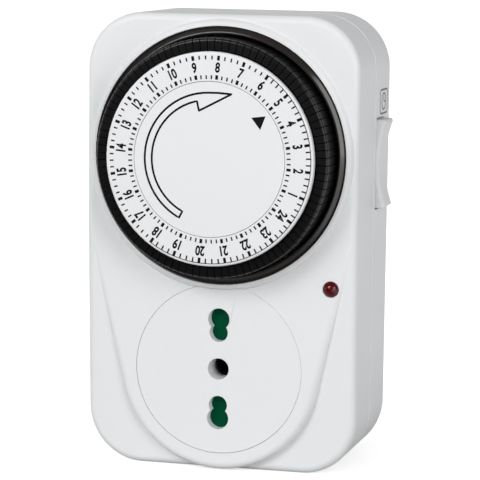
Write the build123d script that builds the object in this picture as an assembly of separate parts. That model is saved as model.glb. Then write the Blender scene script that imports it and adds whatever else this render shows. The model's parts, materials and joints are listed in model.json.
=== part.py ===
from build123d import *
import math
import os

# Mechanical 24-hour plug-in timer switch, in millimetres.
# +Z is up, +X is to the right and the front faces -Y. "Depth" is counted rearwards from the front face,
# so anything that stands out in front of that face has a negative depth.
# The origin is on the face that it stands on, under the middle of the housing's width and half-way between
# the front of the dial and the tips of the plug's pins.

# ---- housing ----
WALL = 2.2
CORNER_R = 14.5
EDGE_R = 2.0            # rounding of the front and rear edges
SIDE_MARGIN = 1.2       # from the dial's collar to the sides and the top
FOOT_MARGIN = 4.7       # from the outlet's insert to the bottom
SHIELD_MARGIN = 4.5     # from the outlet's insert to the round foot of the raised face
SHOULDER_DROP = 20.0    # the raised face starts to narrow this far below the dial's axis
RECESS = 3.0            # set-back of the lower corners at the very bottom
SHOULDER_STEP = 0.15    # and at the shoulders, where it starts
SLOPE_RUN = 10.0        # the slanted cut is longer than the housing by this much at each end
SPLIT_STEP = 1.0        # the two shells meet this far behind the gear plate
SPLIT_BEVEL = 0.3
LIP_LENGTH = 1.6
FIT = 0.1               # gap between still parts that slip together
REAR_ROOM = 2.8         # between the motor and the rear wall

# ---- dial ----
CAP_R = 19.6
SEAM = 0.12
DISC_R = 27.1
DISC_PROUD = 11.2
DISC_BEVEL = 0.5
DISC_THICK = 1.5
DIAL_PHASE = -35.0      # angle of the 24 o'clock mark, anticlockwise from +X
HOURS = 24
PER_HOUR = 4
HOURS_PER_GROUP = 2
BEZEL_GAP = 0.6         # from the segments to the bezel
BEZEL_WIDTH = 2.0
BEZEL_PROUD = 1.1
BEZEL_SEAT = 1.2
BEZEL_EDGE = 0.3        # fall from the bezel's crest to its outer edge
BEZEL_TOP = 0.5         # from the crest out to that edge
BEZEL_LIP = 0.7         # height of the inner edge
COLLAR_WIDTH = 1.8
COLLAR_PROUD = 1.3
COLLAR_TOP = 0.45       # flat top of the collar, as a share of its width
COLLAR_KNEE = 0.8       # and the knee half-way down
LEDGE_WIDTH = 1.5
OUTLET_GAP = 0.3        # between the bezel and the outlet's insert

# ---- captive segments ----
DISC_GAP = 0.3          # from the numeral disc to the segments
SEGMENT_THICK = 3.0
SEGMENT_PROUD = 9.3
SEGMENT_GAP = 0.2
SEGMENT_BEVEL = 0.3
SEGMENT_FOOT = 2.0      # depth of the underside of a segment's head
SEGMENT_TRAVEL = 3.0
LEG_STEP = 0.5          # from the head's inner face to the leg
LEG_THICK = 1.4
LEG_WIDTH = 0.9
LEG_TIP = 1.0           # the leg stands out of the comb this far

# ---- dial wheel ----
ARBOR_R = 3.0
ARBOR_TIP_R = 2.2
RUNNING = 0.06          # radial clearance of a running fit
END_PLAY = 0.15
HUB_R = 5.5
HUB_NEAR = -5.5
WEB_NEAR = 1.0
WEB_THICK = 2.0
DRUM_GAP = 0.1          # the drum stands inside the numeral disc's rim by this much
DRUM_WALL = 1.8
COMB_GAP = 0.4          # from a pressed segment's head to the comb
COMB_THICK = 1.6
COMB_TIP = 0.6          # the fins reach past the legs by this much
FIN_SIDE_GAP = 0.12
GEAR_RIM = 3.0          # from the dial gear's pitch circle to the inside of its rim

# ---- gears ----
DIAL_TEETH = 60
PINION_TEETH = 10
PINION_GAP = 0.69       # from the pinion's teeth to the inside of the drum
WHEEL_MODULE = 0.5
WHEEL_TEETH = 48
OUTPUT_TEETH = 8
ADDENDUM = 0.85         # in modules
DEDENDUM = 1.15
TIP_SHARE = 0.20        # width of a tooth's tip, in pitches
ROOT_SHARE = 0.46
GEAR_FACE = 3.2
THIN_GEAR_FACE = 2.0
REDUCTION_ANGLE = 150.0  # direction of the reduction gear from the dial's axis
OUTPUT_ANGLE = -60.0     # direction of the motor's output from the reduction gear
GEAR_PIN_R = 1.0
WHEEL_GAP = 1.5         # in front of the large wheel, and between it and the gear plate

# ---- gear plate ----
PLATE_THICK = 2.0
PLATE_CORNER = 3.0
PLATE_EDGE = 5.8        # from the gear pin to the plate's edge
PLATE_NOTCH = 12.0      # height of the gap between the plate's lower ears
EAR_R = 4.0
EAR_IN = 9.0            # upper ears' distance from the sides and the top
LOW_EAR_X = 18.0
LOW_EAR_STEP = 1.0      # below the bezel
SPACER_R = 5.0
POST_R = 3.5

# ---- motor ----
OUTPUT_OFFSET = 9.8     # from the motor's output shaft to its axis
MOTOR_ANGLE = 42.5      # direction of that axis from the output shaft
MOTOR_R = 17.5
GEARBOX_DEPTH = 3.4
CAN_DEPTH = 11.5
CAN_WALL = 0.8
BOBBIN_INNER_R = 9.6
BOBBIN_WALL = 0.8
BOBBIN_GAP = 0.5        # between the bobbin and the can
POLE_COUNT = 8
POLE_THICK = 0.9
POLE_WIDTH = 2.4
POLE_RING = 0.8
POLE_GAP = 2.0          # from a claw's tip to the opposite ring's plane
AIR_GAP = 0.4
ROTOR_END_GAP = 1.5
ROTOR_SHAFT_R = 0.75
OUTPUT_SHAFT_R = 1.0

# ---- outlet ----
INSERT_R = 22.0
INSERT_SEAM = 0.12
INSERT_FACE = 3.0
PITCH_16A = 26.0        # between the outer holes
PITCH_10A = 19.0        # between the inner holes
HOLE_16A_R = 2.8
HOLE_10A_R = 2.4
EARTH_HOLE_R = 2.75
EARTH_TUBE_WALL = 0.95
SKIRT_STEP = 1.4        # the skirt stands inside the face's rim by this much
SKIRT_WALL = 1.6
SHUTTER_THICK = 2.2
SHUTTER_HUB_R = 5.6
SHUTTER_EDGE = 1.6      # between the blades and the skirt
SHUTTER_HALF_ANGLE = 17.0
SHUTTER_PLAY = 0.1
SPRING_WIRE = 0.5
SPRING_GAP = 0.2
SPRING_ROOM = 1.3       # between the shutter and the socket block
GUIDE_DEPTH = 1.8       # front wall of the socket block
GUIDE_GAP = 0.25        # the guide is wider than the earth tube by this much
CONTACT_WALL = 0.6
GRIP = 0.05             # the earth contact is tighter than the pin by this much
STRAP_THICK = 0.8
STRAP_WIDTH = 6.0
STRAP_RUN = 4.0         # width of a strap's level run
STRAP_STEP = 1.0        # between the level runs of the two straps
SHEET_EDGE = 1.0        # the insulating sheet stands out beside a strap by this much
INSULATION = 1.0
STRAP_GAP = 0.4         # from the fixed contact's strip to the plane of the straps

# ---- plug ----
PIN_R = 2.5
PIN_PROUD = 19.0
PIN_SLEEVE = 10.0
PIN_CORE_R = 1.9
PIN_NOSE = 1.0
PIN_HEAD_R = 3.5
PIN_HEAD_THICK = 1.5
PIN_HOLE_GAP = 0.15
PIN_SINK = 0.8          # each pin stands in a shallow sunk ring of this depth in the rear face
PIN_RING = 0.7          # and of this width round the pin
CARRIER_WIDTH = 16.0
CARRIER_MARGIN = 5.0

# ---- indicator ----
LENS_IN = 6.6           # from the housing's side
LENS_R = 2.0
LENS_PROUD = 1.1
LENS_FLANGE_R = 2.9
LENS_DEPTH = 6.0
LENS_FLOOR = 0.7        # depth of the hollow's end, where the lamp's tip sits
LAMP_R = 1.4
LAMP_TIP = 1.0
LAMP_END = 11.0
BOARD_THICK = 1.2
BOARD_WIDTH = 8.0
BOARD_HEIGHT = 10.0
BOARD_EDGE = 1.0        # from the lamp to the board's upper edge
BOARD_GAP = 2.1         # from the board up to the switch base
RESISTOR_R = 1.2
RESISTOR_LENGTH = 6.5

# ---- override rocker ----
ROCKER_DROP = 2.7       # below the dial's axis
ROCKER_LENGTH = 23.0
ROCKER_WIDTH = 8.7
ROCKER_END_PROUD = 2.9
ROCKER_MID_PROUD = 0.7
ROCKER_END_R = 0.8
ROCKER_PIVOT_IN = 4.0   # pivot's distance inside the outer wall
ROCKER_PIVOT_R = 1.3
ROCKER_HUB_WALL = 1.0
ROCKER_SKIRT_IN = 3.2
ROCKER_END_GAP = 0.5
ROCKER_SIDE_GAP = 0.2
ROCKER_BASE_WALL = 1.4
ROCKER_BASE_GAP = 0.3   # between the base and the timer's contacts
PLUNGER_R = 1.4
PLUNGER_NOSE = 1.0
PLUNGER_REACH = 5.0     # from the pivot to the plunger's nose
PLUNGER_SEAT = 3.0      # and to its other end
SEESAW_LENGTH = 15.0
SEESAW_WIDTH = 4.0
SEESAW_THICK = 0.6
FULCRUM_R = 0.6
FULCRUM_HALF = 0.5
SEESAW_LIFT = 1.2       # from a seesaw rivet to the terminal strip below it
TERMINAL_HALF = 2.2
TERMINAL_BUTTON = 0.5

# ---- timer contacts ----
LEVER_WIDTH = 3.6
LEVER_THICK = 1.5
LEVER_GAP = 0.95        # between a pressed leg and the lever
LEVER_PIVOT_DROP = 20.0  # below the dial's axis
LEVER_PIN_R = 0.8
LEVER_BOSS_R = 1.4
LEVER_EAR_R = 1.6
EAR_THICK = 1.3
NOSE_RISE = 5.0         # above the dial's axis
NOSE_HALF = 0.9
NOSE_FOOT = 3.0         # from the nose's middle down to its foot
NOSE_END = 2.5          # and up to the lever's end
NOSE_GAP = 0.2
PAD_DROP = 10.0         # below the dial's axis
PAD_HEIGHT = 1.35
PAD_HALF = 0.5
PAD_FOOT_HALF = 1.2
LEAF_THICK = 0.4
LEAF_SIDE = 0.3         # the leaf is narrower than the lever by this much each side
LEAF_DROP = 2.0         # below the dial's axis
LEAF_START = 0.2        # the leaf's free part starts this far above the base
RIVET_EDGE = 2.0
RIVET_R = 1.4
RIVET_THICK = 0.8
CONTACT_GAP = 1.9
BASE_DROP = 2.0         # below the lever's pivot
BASE_HEIGHT = 6.5
BASE_SIDE = 5.6         # from the middle of the lever to the base's inner side
BASE_CAP = 2.0          # of the base behind the fixed contact

# ---- fasteners ----
SCREW_IN = 10.0         # lower screws' distance from the sides
SCREW_Z = 9.0
SCREW_R = 1.5
SCREW_HEAD_R = 2.8
SCREW_HEAD_THICK = 2.0
SCREW_SINK = 10.0       # from the rear face to the head's seat
SCREW_LENGTH = 20.0
SCREW_SLOT = 0.8
BOSS_R = 4.5
SMALL_SCREW_R = 1.1
SMALL_HEAD_R = 2.1
SMALL_HEAD_THICK = 1.3
SMALL_SCREW_LENGTH = 7.0

THROUGH = 1.0           # a cutting tool runs past what it cuts by this much
TOUCHING = 0.001

# ---- radii worked out from the numeral disc outwards ----
SEGMENT_INNER_R = DISC_R + DISC_GAP
SEGMENT_OUTER_R = SEGMENT_INNER_R + SEGMENT_THICK
LEG_INNER_R = SEGMENT_INNER_R + LEG_STEP
LEG_OUTER_R = LEG_INNER_R + LEG_THICK
COMB_R = LEG_OUTER_R + COMB_TIP
DRUM_OUTER_R = DISC_R - DRUM_GAP
DRUM_INNER_R = DRUM_OUTER_R - DRUM_WALL
BEZEL_INNER_R = SEGMENT_OUTER_R + BEZEL_GAP
BEZEL_R = BEZEL_INNER_R + BEZEL_WIDTH
SEGMENTS = HOURS * PER_HOUR
PITCH_ANGLE = 360 / SEGMENTS

# ---- radii of the outlet and the motor ----
EARTH_TUBE_R = EARTH_HOLE_R + EARTH_TUBE_WALL
SKIRT_R = INSERT_R - SKIRT_STEP
SHUTTER_R = SKIRT_R - SKIRT_WALL - SHUTTER_EDGE
EARTH_GRIP_R = PIN_R - GRIP
BOBBIN_OUTER_R = MOTOR_R - CAN_WALL - BOBBIN_GAP
POLE_OUTER_R = BOBBIN_INNER_R - FIT
POLE_INNER_R = POLE_OUTER_R - POLE_THICK
ROTOR_R = POLE_INNER_R - AIR_GAP

# ---- widths and heights of the housing and what lines up in it ----
SIDE_X = BEZEL_R + COLLAR_WIDTH + SIDE_MARGIN
WIDTH = 2 * SIDE_X
SOCKET_Z = FOOT_MARGIN + INSERT_R
DIAL_Z = SOCKET_Z + INSERT_R + OUTLET_GAP + BEZEL_R
HEIGHT = DIAL_Z + SIDE_X
SHIELD_R = INSERT_R + SHIELD_MARGIN
SHOULDER_Z = DIAL_Z - SHOULDER_DROP
EAR_X = SIDE_X - EAR_IN
EAR_Z = HEIGHT - EAR_IN
LOW_EAR_Z = DIAL_Z - BEZEL_R - LOW_EAR_STEP
SCREW_X = SIDE_X - SCREW_IN
LENS_X = SIDE_X - LENS_IN
ROCKER_Z = DIAL_Z - ROCKER_DROP
PIVOT_X = SIDE_X - ROCKER_PIVOT_IN
SEESAW_FACE_X = PIVOT_X - PLUNGER_REACH - NOSE_GAP
SEESAW_BACK_X = SEESAW_FACE_X - SEESAW_THICK
ROCKER_FLOOR_X = SEESAW_BACK_X - RIVET_THICK - SEESAW_LIFT - STRAP_THICK
LEVER_X = (LEG_INNER_R + LEG_OUTER_R) / 2
LEVER_PIVOT_Z = DIAL_Z - LEVER_PIVOT_DROP
NOSE_Z = DIAL_Z + NOSE_RISE
PAD_Z = DIAL_Z - PAD_DROP
LEAF_TOP_Z = DIAL_Z - LEAF_DROP
RIVET_Z = LEAF_TOP_Z - RIVET_EDGE
BASE_TOP_Z = LEVER_PIVOT_Z - BASE_DROP
BASE_Z = BASE_TOP_Z - BASE_HEIGHT
LENS_Z = BASE_Z - BOARD_GAP - BOARD_EDGE - LAMP_R
PHASE_RUN_Z = BASE_Z - FIT
SUPPLY_RUN_Z = PHASE_RUN_Z - STRAP_RUN - STRAP_STEP

# ---- depths, from the dial's web back to the rear face ----
WEB_FAR = WEB_NEAR + WEB_THICK
GEAR_NEAR = WEB_FAR
GEAR_FAR = GEAR_NEAR + GEAR_FACE
COMB_NEAR = SEGMENT_FOOT + SEGMENT_TRAVEL + COMB_GAP
COMB_FAR = COMB_NEAR + COMB_THICK
LEG_END = COMB_FAR + LEG_TIP
LEG_PRESSED = LEG_END + SEGMENT_TRAVEL
WHEEL_NEAR = LEG_PRESSED + WHEEL_GAP
WHEEL_FAR = WHEEL_NEAR + THIN_GEAR_FACE
PLATE_NEAR = WHEEL_FAR + WHEEL_GAP
PLATE_FAR = PLATE_NEAR + PLATE_THICK
SPLIT_DEPTH = PLATE_FAR + SPLIT_STEP
GEARBOX_NEAR = PLATE_FAR + FIT
GEARBOX_FAR = GEARBOX_NEAR + GEARBOX_DEPTH
CAN_FAR = GEARBOX_FAR + CAN_DEPTH
INNER_REAR = CAN_FAR + REAR_ROOM
DEPTH = INNER_REAR + WALL
PIN_TIP = DEPTH + PIN_PROUD
PIN_SEAT = DEPTH - PIN_SINK
SLEEVE_END = DEPTH + PIN_SLEEVE
SCREW_SEAT = DEPTH - SCREW_SINK
SCREW_TIP = SCREW_SEAT - SCREW_LENGTH
FRONT_Y = (DISC_PROUD - PIN_TIP) / 2

# ---- depths of the timer's contacts, the rocker and the outlet ----
LEVER_NEAR = LEG_PRESSED + LEVER_GAP
LEVER_FAR = LEVER_NEAR + LEVER_THICK
LEVER_PIVOT_DEPTH = (LEVER_NEAR + LEVER_FAR) / 2
LEAF_NEAR = LEVER_FAR + PAD_HEIGHT + FIT
LEAF_FAR = LEAF_NEAR + LEAF_THICK
FIXED_NEAR = LEAF_FAR + RIVET_THICK + CONTACT_GAP + RIVET_THICK
FIXED_FAR = FIXED_NEAR + STRAP_THICK
ROCKER_NEAR = FIXED_FAR + ROCKER_BASE_GAP + ROCKER_BASE_WALL + ROCKER_SIDE_GAP
ROCKER_FAR = ROCKER_NEAR + ROCKER_WIDTH
ROCKER_MID = (ROCKER_NEAR + ROCKER_FAR) / 2
SEESAW_NEAR = ROCKER_MID - SEESAW_WIDTH / 2
SEESAW_FAR = ROCKER_MID + SEESAW_WIDTH / 2
SHUTTER_NEAR = INSERT_FACE + SHUTTER_PLAY
SHUTTER_FAR = SHUTTER_NEAR + SHUTTER_THICK
BLOCK_NEAR = SHUTTER_FAR + SPRING_ROOM
BLOCK_FAR = FIXED_FAR + STRAP_GAP
CONTACT_NEAR = BLOCK_NEAR + GUIDE_DEPTH
STRAP_NEAR = BLOCK_FAR
STRAP_FAR = STRAP_NEAR + STRAP_THICK
SUPPLY_NEAR = STRAP_FAR + INSULATION
SUPPLY_FAR = SUPPLY_NEAR + STRAP_THICK
HEAD_FAR = SUPPLY_FAR + PIN_HEAD_THICK

# ---- gear centres ----
GEAR_MODULE = 2 * (DRUM_INNER_R - PINION_GAP) / (DIAL_TEETH + 2 * PINION_TEETH + 2 * ADDENDUM)
REDUCTION_REACH = GEAR_MODULE * (DIAL_TEETH + PINION_TEETH) / 2
REDUCTION_X = REDUCTION_REACH * math.cos(math.radians(REDUCTION_ANGLE))
REDUCTION_Z = DIAL_Z + REDUCTION_REACH * math.sin(math.radians(REDUCTION_ANGLE))
OUTPUT_REACH = WHEEL_MODULE * (WHEEL_TEETH + OUTPUT_TEETH) / 2
OUTPUT_X = REDUCTION_X + OUTPUT_REACH * math.cos(math.radians(OUTPUT_ANGLE))
OUTPUT_Z = REDUCTION_Z + OUTPUT_REACH * math.sin(math.radians(OUTPUT_ANGLE))
MOTOR_X = OUTPUT_X + OUTPUT_OFFSET * math.cos(math.radians(MOTOR_ANGLE))
MOTOR_Z = OUTPUT_Z + OUTPUT_OFFSET * math.sin(math.radians(MOTOR_ANGLE))


# ---- shared helpers ----
def at(depth):
    """Plane parallel to the front face, seen from the front: its x is +X and its y is +Z."""
    return Plane(origin=(0, FRONT_Y + depth, 0), x_dir=(1, 0, 0), z_dir=(0, -1, 0))


def slab(shape, near, far):
    """Solid of a flat shape between two depths."""
    return extrude(at(far) * shape, amount=far - near, dir=(0, -1, 0))


def rod(radius, near, far, x=0.0, z=0.0):
    return slab(Pos(x, z) * Circle(radius), near, far)


def tube(outer, inner, near, far, x=0.0, z=0.0):
    return slab(Pos(x, z) * (Circle(outer) - Circle(inner)), near, far)


def block(x0, x1, near, far, z0, z1):
    """Box between two x, two depths and two heights."""
    middle = Pos((x0 + x1) / 2, (z0 + z1) / 2)
    return slab(middle * Rectangle(x1 - x0, z1 - z0), near, far)


def turned(outline_edges, x=0.0, z=0.0):
    """Solid of revolution about the line at (x, z), from a closed outline drawn in (radius, depth)."""
    plane = Plane(origin=(x, FRONT_Y, z), x_dir=(1, 0, 0), z_dir=(0, 0, 1))
    return revolve(plane * make_face(outline_edges), Axis((x, FRONT_Y, z), (0, 1, 0)))


def closed(*points):
    return Polyline(*points, close=True)


def side_slab(points, x0, x1):
    """Solid of a shape given as (depth, height) points between two x."""
    plane = Plane(origin=(x0, FRONT_Y, 0), x_dir=(0, 1, 0), z_dir=(1, 0, 0))
    return extrude(plane * make_face(closed(*points)), amount=x1 - x0, dir=(1, 0, 0))


def side_rod(radius, x0, x1, depth, z):
    """Round bar along X."""
    plane = Plane(origin=(x0, FRONT_Y + depth, z), x_dir=(0, 1, 0), z_dir=(1, 0, 0))
    return extrude(plane * Circle(radius), amount=x1 - x0, dir=(1, 0, 0))


def about_dial(solid, angle):
    """Turns a solid made on the dial's +X side anticlockwise round the dial's axis."""
    turn = Pos(0, 0, DIAL_Z) * Rot(0, -angle, 0) * Pos(0, 0, -DIAL_Z)
    return turn * solid


def gear(teeth, module, near, far, x, z, tooth_angle):
    """Spur gear with straight flanks and thinned teeth, one tooth of which points along tooth_angle."""
    pitch_r = teeth * module / 2
    tip_r = pitch_r + ADDENDUM * module
    root_r = pitch_r - DEDENDUM * module
    corners = (
        (-ROOT_SHARE / 2, root_r),
        (-TIP_SHARE / 2, tip_r),
        (TIP_SHARE / 2, tip_r),
        (ROOT_SHARE / 2, root_r),
    )
    points = []
    for tooth in range(teeth):
        for share, radius in corners:
            angle = math.radians(tooth_angle + (tooth + share) * 360 / teeth)
            points.append((radius * math.cos(angle), radius * math.sin(angle)))
    return slab(Pos(x, z) * make_face(closed(*points)), near, far)


def save(name, *solids):
    """Writes one sub-part; several separate solids become one node."""
    shape = solids[0] if len(solids) == 1 else Compound(children=list(solids))
    export_step(shape, f"parts/{name}.step")


# ---- housing outline ----
def outline(inset=0.0):
    rounded = RectangleRounded(WIDTH - 2 * inset, HEIGHT - 2 * inset, CORNER_R - inset)
    return Pos(0, HEIGHT / 2) * rounded


def shield(inset=0.0):
    """Raised face: full width above the shoulders, then two tangents down to a round foot."""
    rise = SHOULDER_Z - SOCKET_Z
    touch = math.atan2(rise, SIDE_X) - math.acos(SHIELD_R / math.hypot(SIDE_X, rise))
    touch_x = SHIELD_R * math.cos(touch)
    touch_z = SOCKET_Z + SHIELD_R * math.sin(touch)
    foot = Pos(0, SOCKET_Z) * Circle(SHIELD_R)
    corners = [(touch_x, touch_z), (SIDE_X, SHOULDER_Z), (-SIDE_X, SHOULDER_Z), (-touch_x, touch_z)]
    taper = make_face(closed(*corners))
    above = Pos(0, SHOULDER_Z + HEIGHT / 2) * Rectangle(2 * WIDTH, HEIGHT)
    whole = (foot + taper + above) & outline()
    return offset(whole, -inset, kind=Kind.INTERSECTION) if inset else whole


def front_body(inset):
    """The front half's outer form, or its hollow when inset by the wall."""
    edge = max(EDGE_R - inset, 0.0)
    raised = slab(shield(inset), inset, SPLIT_DEPTH)
    if edge:
        raised = fillet(raised.edges().group_by(Axis.Y)[0], edge)
    foot_z, top_z = -SLOPE_RUN, SHOULDER_Z + SLOPE_RUN
    front = -2 * SLOPE_RUN
    slope = [
        (front, foot_z),
        (inset + setback_at(foot_z), foot_z),
        (inset + setback_at(top_z), top_z),
        (front, top_z),
    ]
    lower = slab(outline(inset), -SLOPE_RUN, SPLIT_DEPTH) - side_slab(slope, -WIDTH, WIDTH)
    if edge:
        slanted = lower.faces().filter_by(lambda face: face.normal_at().Y < -0.99)
        lower = fillet(slanted.edges(), edge)
    lower &= block(-WIDTH, WIDTH, -SLOPE_RUN, SPLIT_DEPTH, -SLOPE_RUN, SHOULDER_Z + THROUGH)
    return raised + lower


def setback_at(z):
    """How far the slanted lower corners lie behind the front face at a height."""
    return SHOULDER_STEP + (RECESS - SHOULDER_STEP) * (SHOULDER_Z - z) / SHOULDER_Z


def lens_seat():
    """Depth of the pad behind the front wall that the lens's flange bears on."""
    return WALL + setback_at(LENS_Z - LENS_FLANGE_R)


def screw_places():
    """Front-to-rear housing screws: two through the gear plate's ears, two at the bottom corners."""
    return [(-EAR_X, EAR_Z), (EAR_X, EAR_Z), (-SCREW_X, SCREW_Z), (SCREW_X, SCREW_Z)]


def front_shell():
    shell = front_body(0.0) - front_body(WALL)
    hole_r = BEZEL_R - LEDGE_WIDTH
    collar_foot = BEZEL_R + COLLAR_WIDTH
    shell += turned(
        closed(
            (hole_r, WALL),
            (hole_r, 0.0),
            (BEZEL_R + FIT, -COLLAR_PROUD),
            (BEZEL_R + COLLAR_TOP * COLLAR_WIDTH, -COLLAR_PROUD),
            (BEZEL_R + COLLAR_KNEE * COLLAR_WIDTH, -COLLAR_PROUD / 2),
            (collar_foot, 0.0),
            (collar_foot, WALL),
        ),
        z=DIAL_Z,
    )
    shell -= rod(hole_r, -COLLAR_PROUD - THROUGH, WALL + THROUGH, 0, DIAL_Z)
    shell -= rod(BEZEL_R + FIT, -COLLAR_PROUD - THROUGH, BEZEL_SEAT, 0, DIAL_Z)
    shell -= rod(INSERT_R + INSERT_SEAM, -THROUGH, WALL + THROUGH, 0, SOCKET_Z)
    shell += rod(LENS_FLANGE_R, WALL / 2, lens_seat(), LENS_X, LENS_Z)
    shell -= rod(LENS_R + FIT, -THROUGH, lens_seat() + THROUGH, LENS_X, LENS_Z)
    for x, z in screw_places():
        post = PLATE_NEAR if z > DIAL_Z else PLATE_FAR
        near = WALL if z > DIAL_Z else RECESS
        shell += rod(POST_R, near, post, x, z)
        shell -= rod(SCREW_R, SCREW_TIP, post + THROUGH, x, z)
    for x in (-LOW_EAR_X, LOW_EAR_X):
        shell += rod(POST_R, WALL / 2, PLATE_NEAR, x, LOW_EAR_Z)
        shell -= rod(SMALL_SCREW_R, PLATE_FAR - SMALL_SCREW_LENGTH, PLATE_NEAR + THROUGH, x, LOW_EAR_Z)
    lip_near = SPLIT_DEPTH - LIP_LENGTH - FIT
    groove = slab(outline(WALL / 2), lip_near, SPLIT_DEPTH)
    shell -= groove - slab(outline(WALL + THROUGH), lip_near, SPLIT_DEPTH)
    envelope = slab(outline(), -COLLAR_PROUD - THROUGH, SPLIT_DEPTH)
    return shell & chamfer(envelope.edges().group_by(Axis.Y)[-1], SPLIT_BEVEL)


def rear_shell():
    body = slab(outline(), SPLIT_DEPTH, DEPTH)
    body = fillet(body.edges().group_by(Axis.Y)[-1], EDGE_R)
    body = chamfer(body.edges().group_by(Axis.Y)[0], SPLIT_BEVEL)
    shell = body - slab(outline(WALL), SPLIT_DEPTH - THROUGH, INNER_REAR)
    lip = slab(outline(WALL / 2 + FIT), SPLIT_DEPTH - LIP_LENGTH, SPLIT_DEPTH)
    shell += lip - slab(outline(WALL), SPLIT_DEPTH - LIP_LENGTH, SPLIT_DEPTH)
    for x, z in screw_places():
        shell += rod(BOSS_R, PLATE_FAR, INNER_REAR + FIT, x, z)
        shell -= rod(SCREW_HEAD_R + FIT, SCREW_SEAT, DEPTH + THROUGH, x, z)
        shell -= rod(SCREW_R + FIT, PLATE_FAR - THROUGH, SCREW_SEAT + THROUGH, x, z)
    for z in pin_heights():
        shell -= rod(PIN_CORE_R + PIN_HOLE_GAP, INNER_REAR - THROUGH, DEPTH, 0, z)
        shell -= rod(PIN_R + PIN_RING, PIN_SEAT, DEPTH + THROUGH, 0, z)
    half = ROCKER_LENGTH / 2 + ROCKER_END_GAP
    near = ROCKER_NEAR - ROCKER_SIDE_GAP
    far = ROCKER_FAR + ROCKER_SIDE_GAP
    return shell - block(SIDE_X - WALL - THROUGH, SIDE_X + THROUGH, near, far, ROCKER_Z - half, ROCKER_Z + half)


def pin_heights():
    return [SOCKET_Z - PITCH_16A / 2, SOCKET_Z, SOCKET_Z + PITCH_16A / 2]


def slotted_screw(radius, head_r, tip, seat, head_thick, x, z):
    """Screw driven from the rear, with a straight slot across its head."""
    head_far = seat + head_thick
    body = rod(radius, tip, seat, x, z) + rod(head_r, seat, head_far, x, z)
    half = SCREW_SLOT / 2
    reach = head_r + THROUGH
    return body - block(x - reach, x + reach, seat + head_thick / 2, head_far + THROUGH, z - half, z + half)


def housing_screws():
    return [
        slotted_screw(SCREW_R, SCREW_HEAD_R, SCREW_TIP, SCREW_SEAT, SCREW_HEAD_THICK, x, z)
        for x, z in screw_places()
    ]


# ---- dial ----
def dial_bezel():
    return turned(
        closed(
            (BEZEL_INNER_R, BEZEL_SEAT),
            (BEZEL_INNER_R, BEZEL_SEAT - BEZEL_LIP),
            (BEZEL_R - BEZEL_TOP, -BEZEL_PROUD),
            (BEZEL_R, -BEZEL_PROUD + BEZEL_EDGE),
            (BEZEL_R, BEZEL_SEAT),
        ),
        z=DIAL_Z,
    )


def numeral_disc():
    """Flat ring with a bevelled rim, standing on the drum of the dial wheel."""
    near = -DISC_PROUD
    ring = tube(DISC_R, CAP_R + SEAM, near, near + DISC_THICK, 0, DIAL_Z)
    rim = ring.edges().filter_by(GeomType.CIRCLE).filter_by(lambda line: line.radius > DISC_R - TOUCHING)
    return chamfer(rim.group_by(Axis.Y)[0], DISC_BEVEL)


def centre_cap():
    """Fixed cap: a flat plate level with the numeral disc, and a socket for the arbor's tip."""
    near = -DISC_PROUD
    plate = rod(CAP_R, near, near + DISC_THICK, 0, DIAL_Z)
    bore_r = ARBOR_TIP_R + RUNNING
    return plate + tube(HUB_R, bore_r, near + DISC_THICK, HUB_NEAR - END_PLAY, 0, DIAL_Z)


def dial_arbor():
    tip = rod(ARBOR_TIP_R, -DISC_PROUD + DISC_THICK, HUB_NEAR - END_PLAY, 0, DIAL_Z)
    return tip + rod(ARBOR_R, HUB_NEAR - END_PLAY, PLATE_FAR, 0, DIAL_Z)


def comb():
    """Ring of fins; a segment's leg runs in each gap between two fins."""
    points = []
    leg_half = LEG_WIDTH / 2 + FIN_SIDE_GAP
    root_r = LEG_INNER_R - FIN_SIDE_GAP
    for number in range(SEGMENTS):
        middle = math.radians(DIAL_PHASE + (number + 0.5) * PITCH_ANGLE)
        for side, radius in ((-1, COMB_R), (-1, root_r), (1, root_r), (1, COMB_R)):
            along = math.sqrt(radius**2 - leg_half**2)
            points.append(
                (
                    along * math.cos(middle) - side * leg_half * math.sin(middle),
                    along * math.sin(middle) + side * leg_half * math.cos(middle),
                )
            )
    return make_face(closed(*points))


def dial_wheel():
    """Drum, web and hub in one moulding, with the comb round its rear edge and the dial gear behind the web."""
    wheel = tube(DRUM_OUTER_R, DRUM_INNER_R, -DISC_PROUD + DISC_THICK, COMB_FAR, 0, DIAL_Z)
    wheel += tube(DRUM_OUTER_R, ARBOR_R + RUNNING, WEB_NEAR, WEB_FAR, 0, DIAL_Z)
    wheel += tube(HUB_R, ARBOR_R + RUNNING, HUB_NEAR, GEAR_FAR, 0, DIAL_Z)
    ring = gear(DIAL_TEETH, GEAR_MODULE, GEAR_NEAR, GEAR_FAR, 0, DIAL_Z, REDUCTION_ANGLE)
    rim_inner_r = DIAL_TEETH * GEAR_MODULE / 2 - GEAR_RIM
    wheel += ring - rod(rim_inner_r, GEAR_NEAR - THROUGH, GEAR_FAR + THROUGH, 0, DIAL_Z)
    fins = slab(Pos(0, DIAL_Z) * comb(), COMB_NEAR, COMB_FAR)
    wheel += fins - rod(DRUM_INNER_R, COMB_NEAR - THROUGH, COMB_FAR + THROUGH, 0, DIAL_Z)
    return wheel


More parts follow.
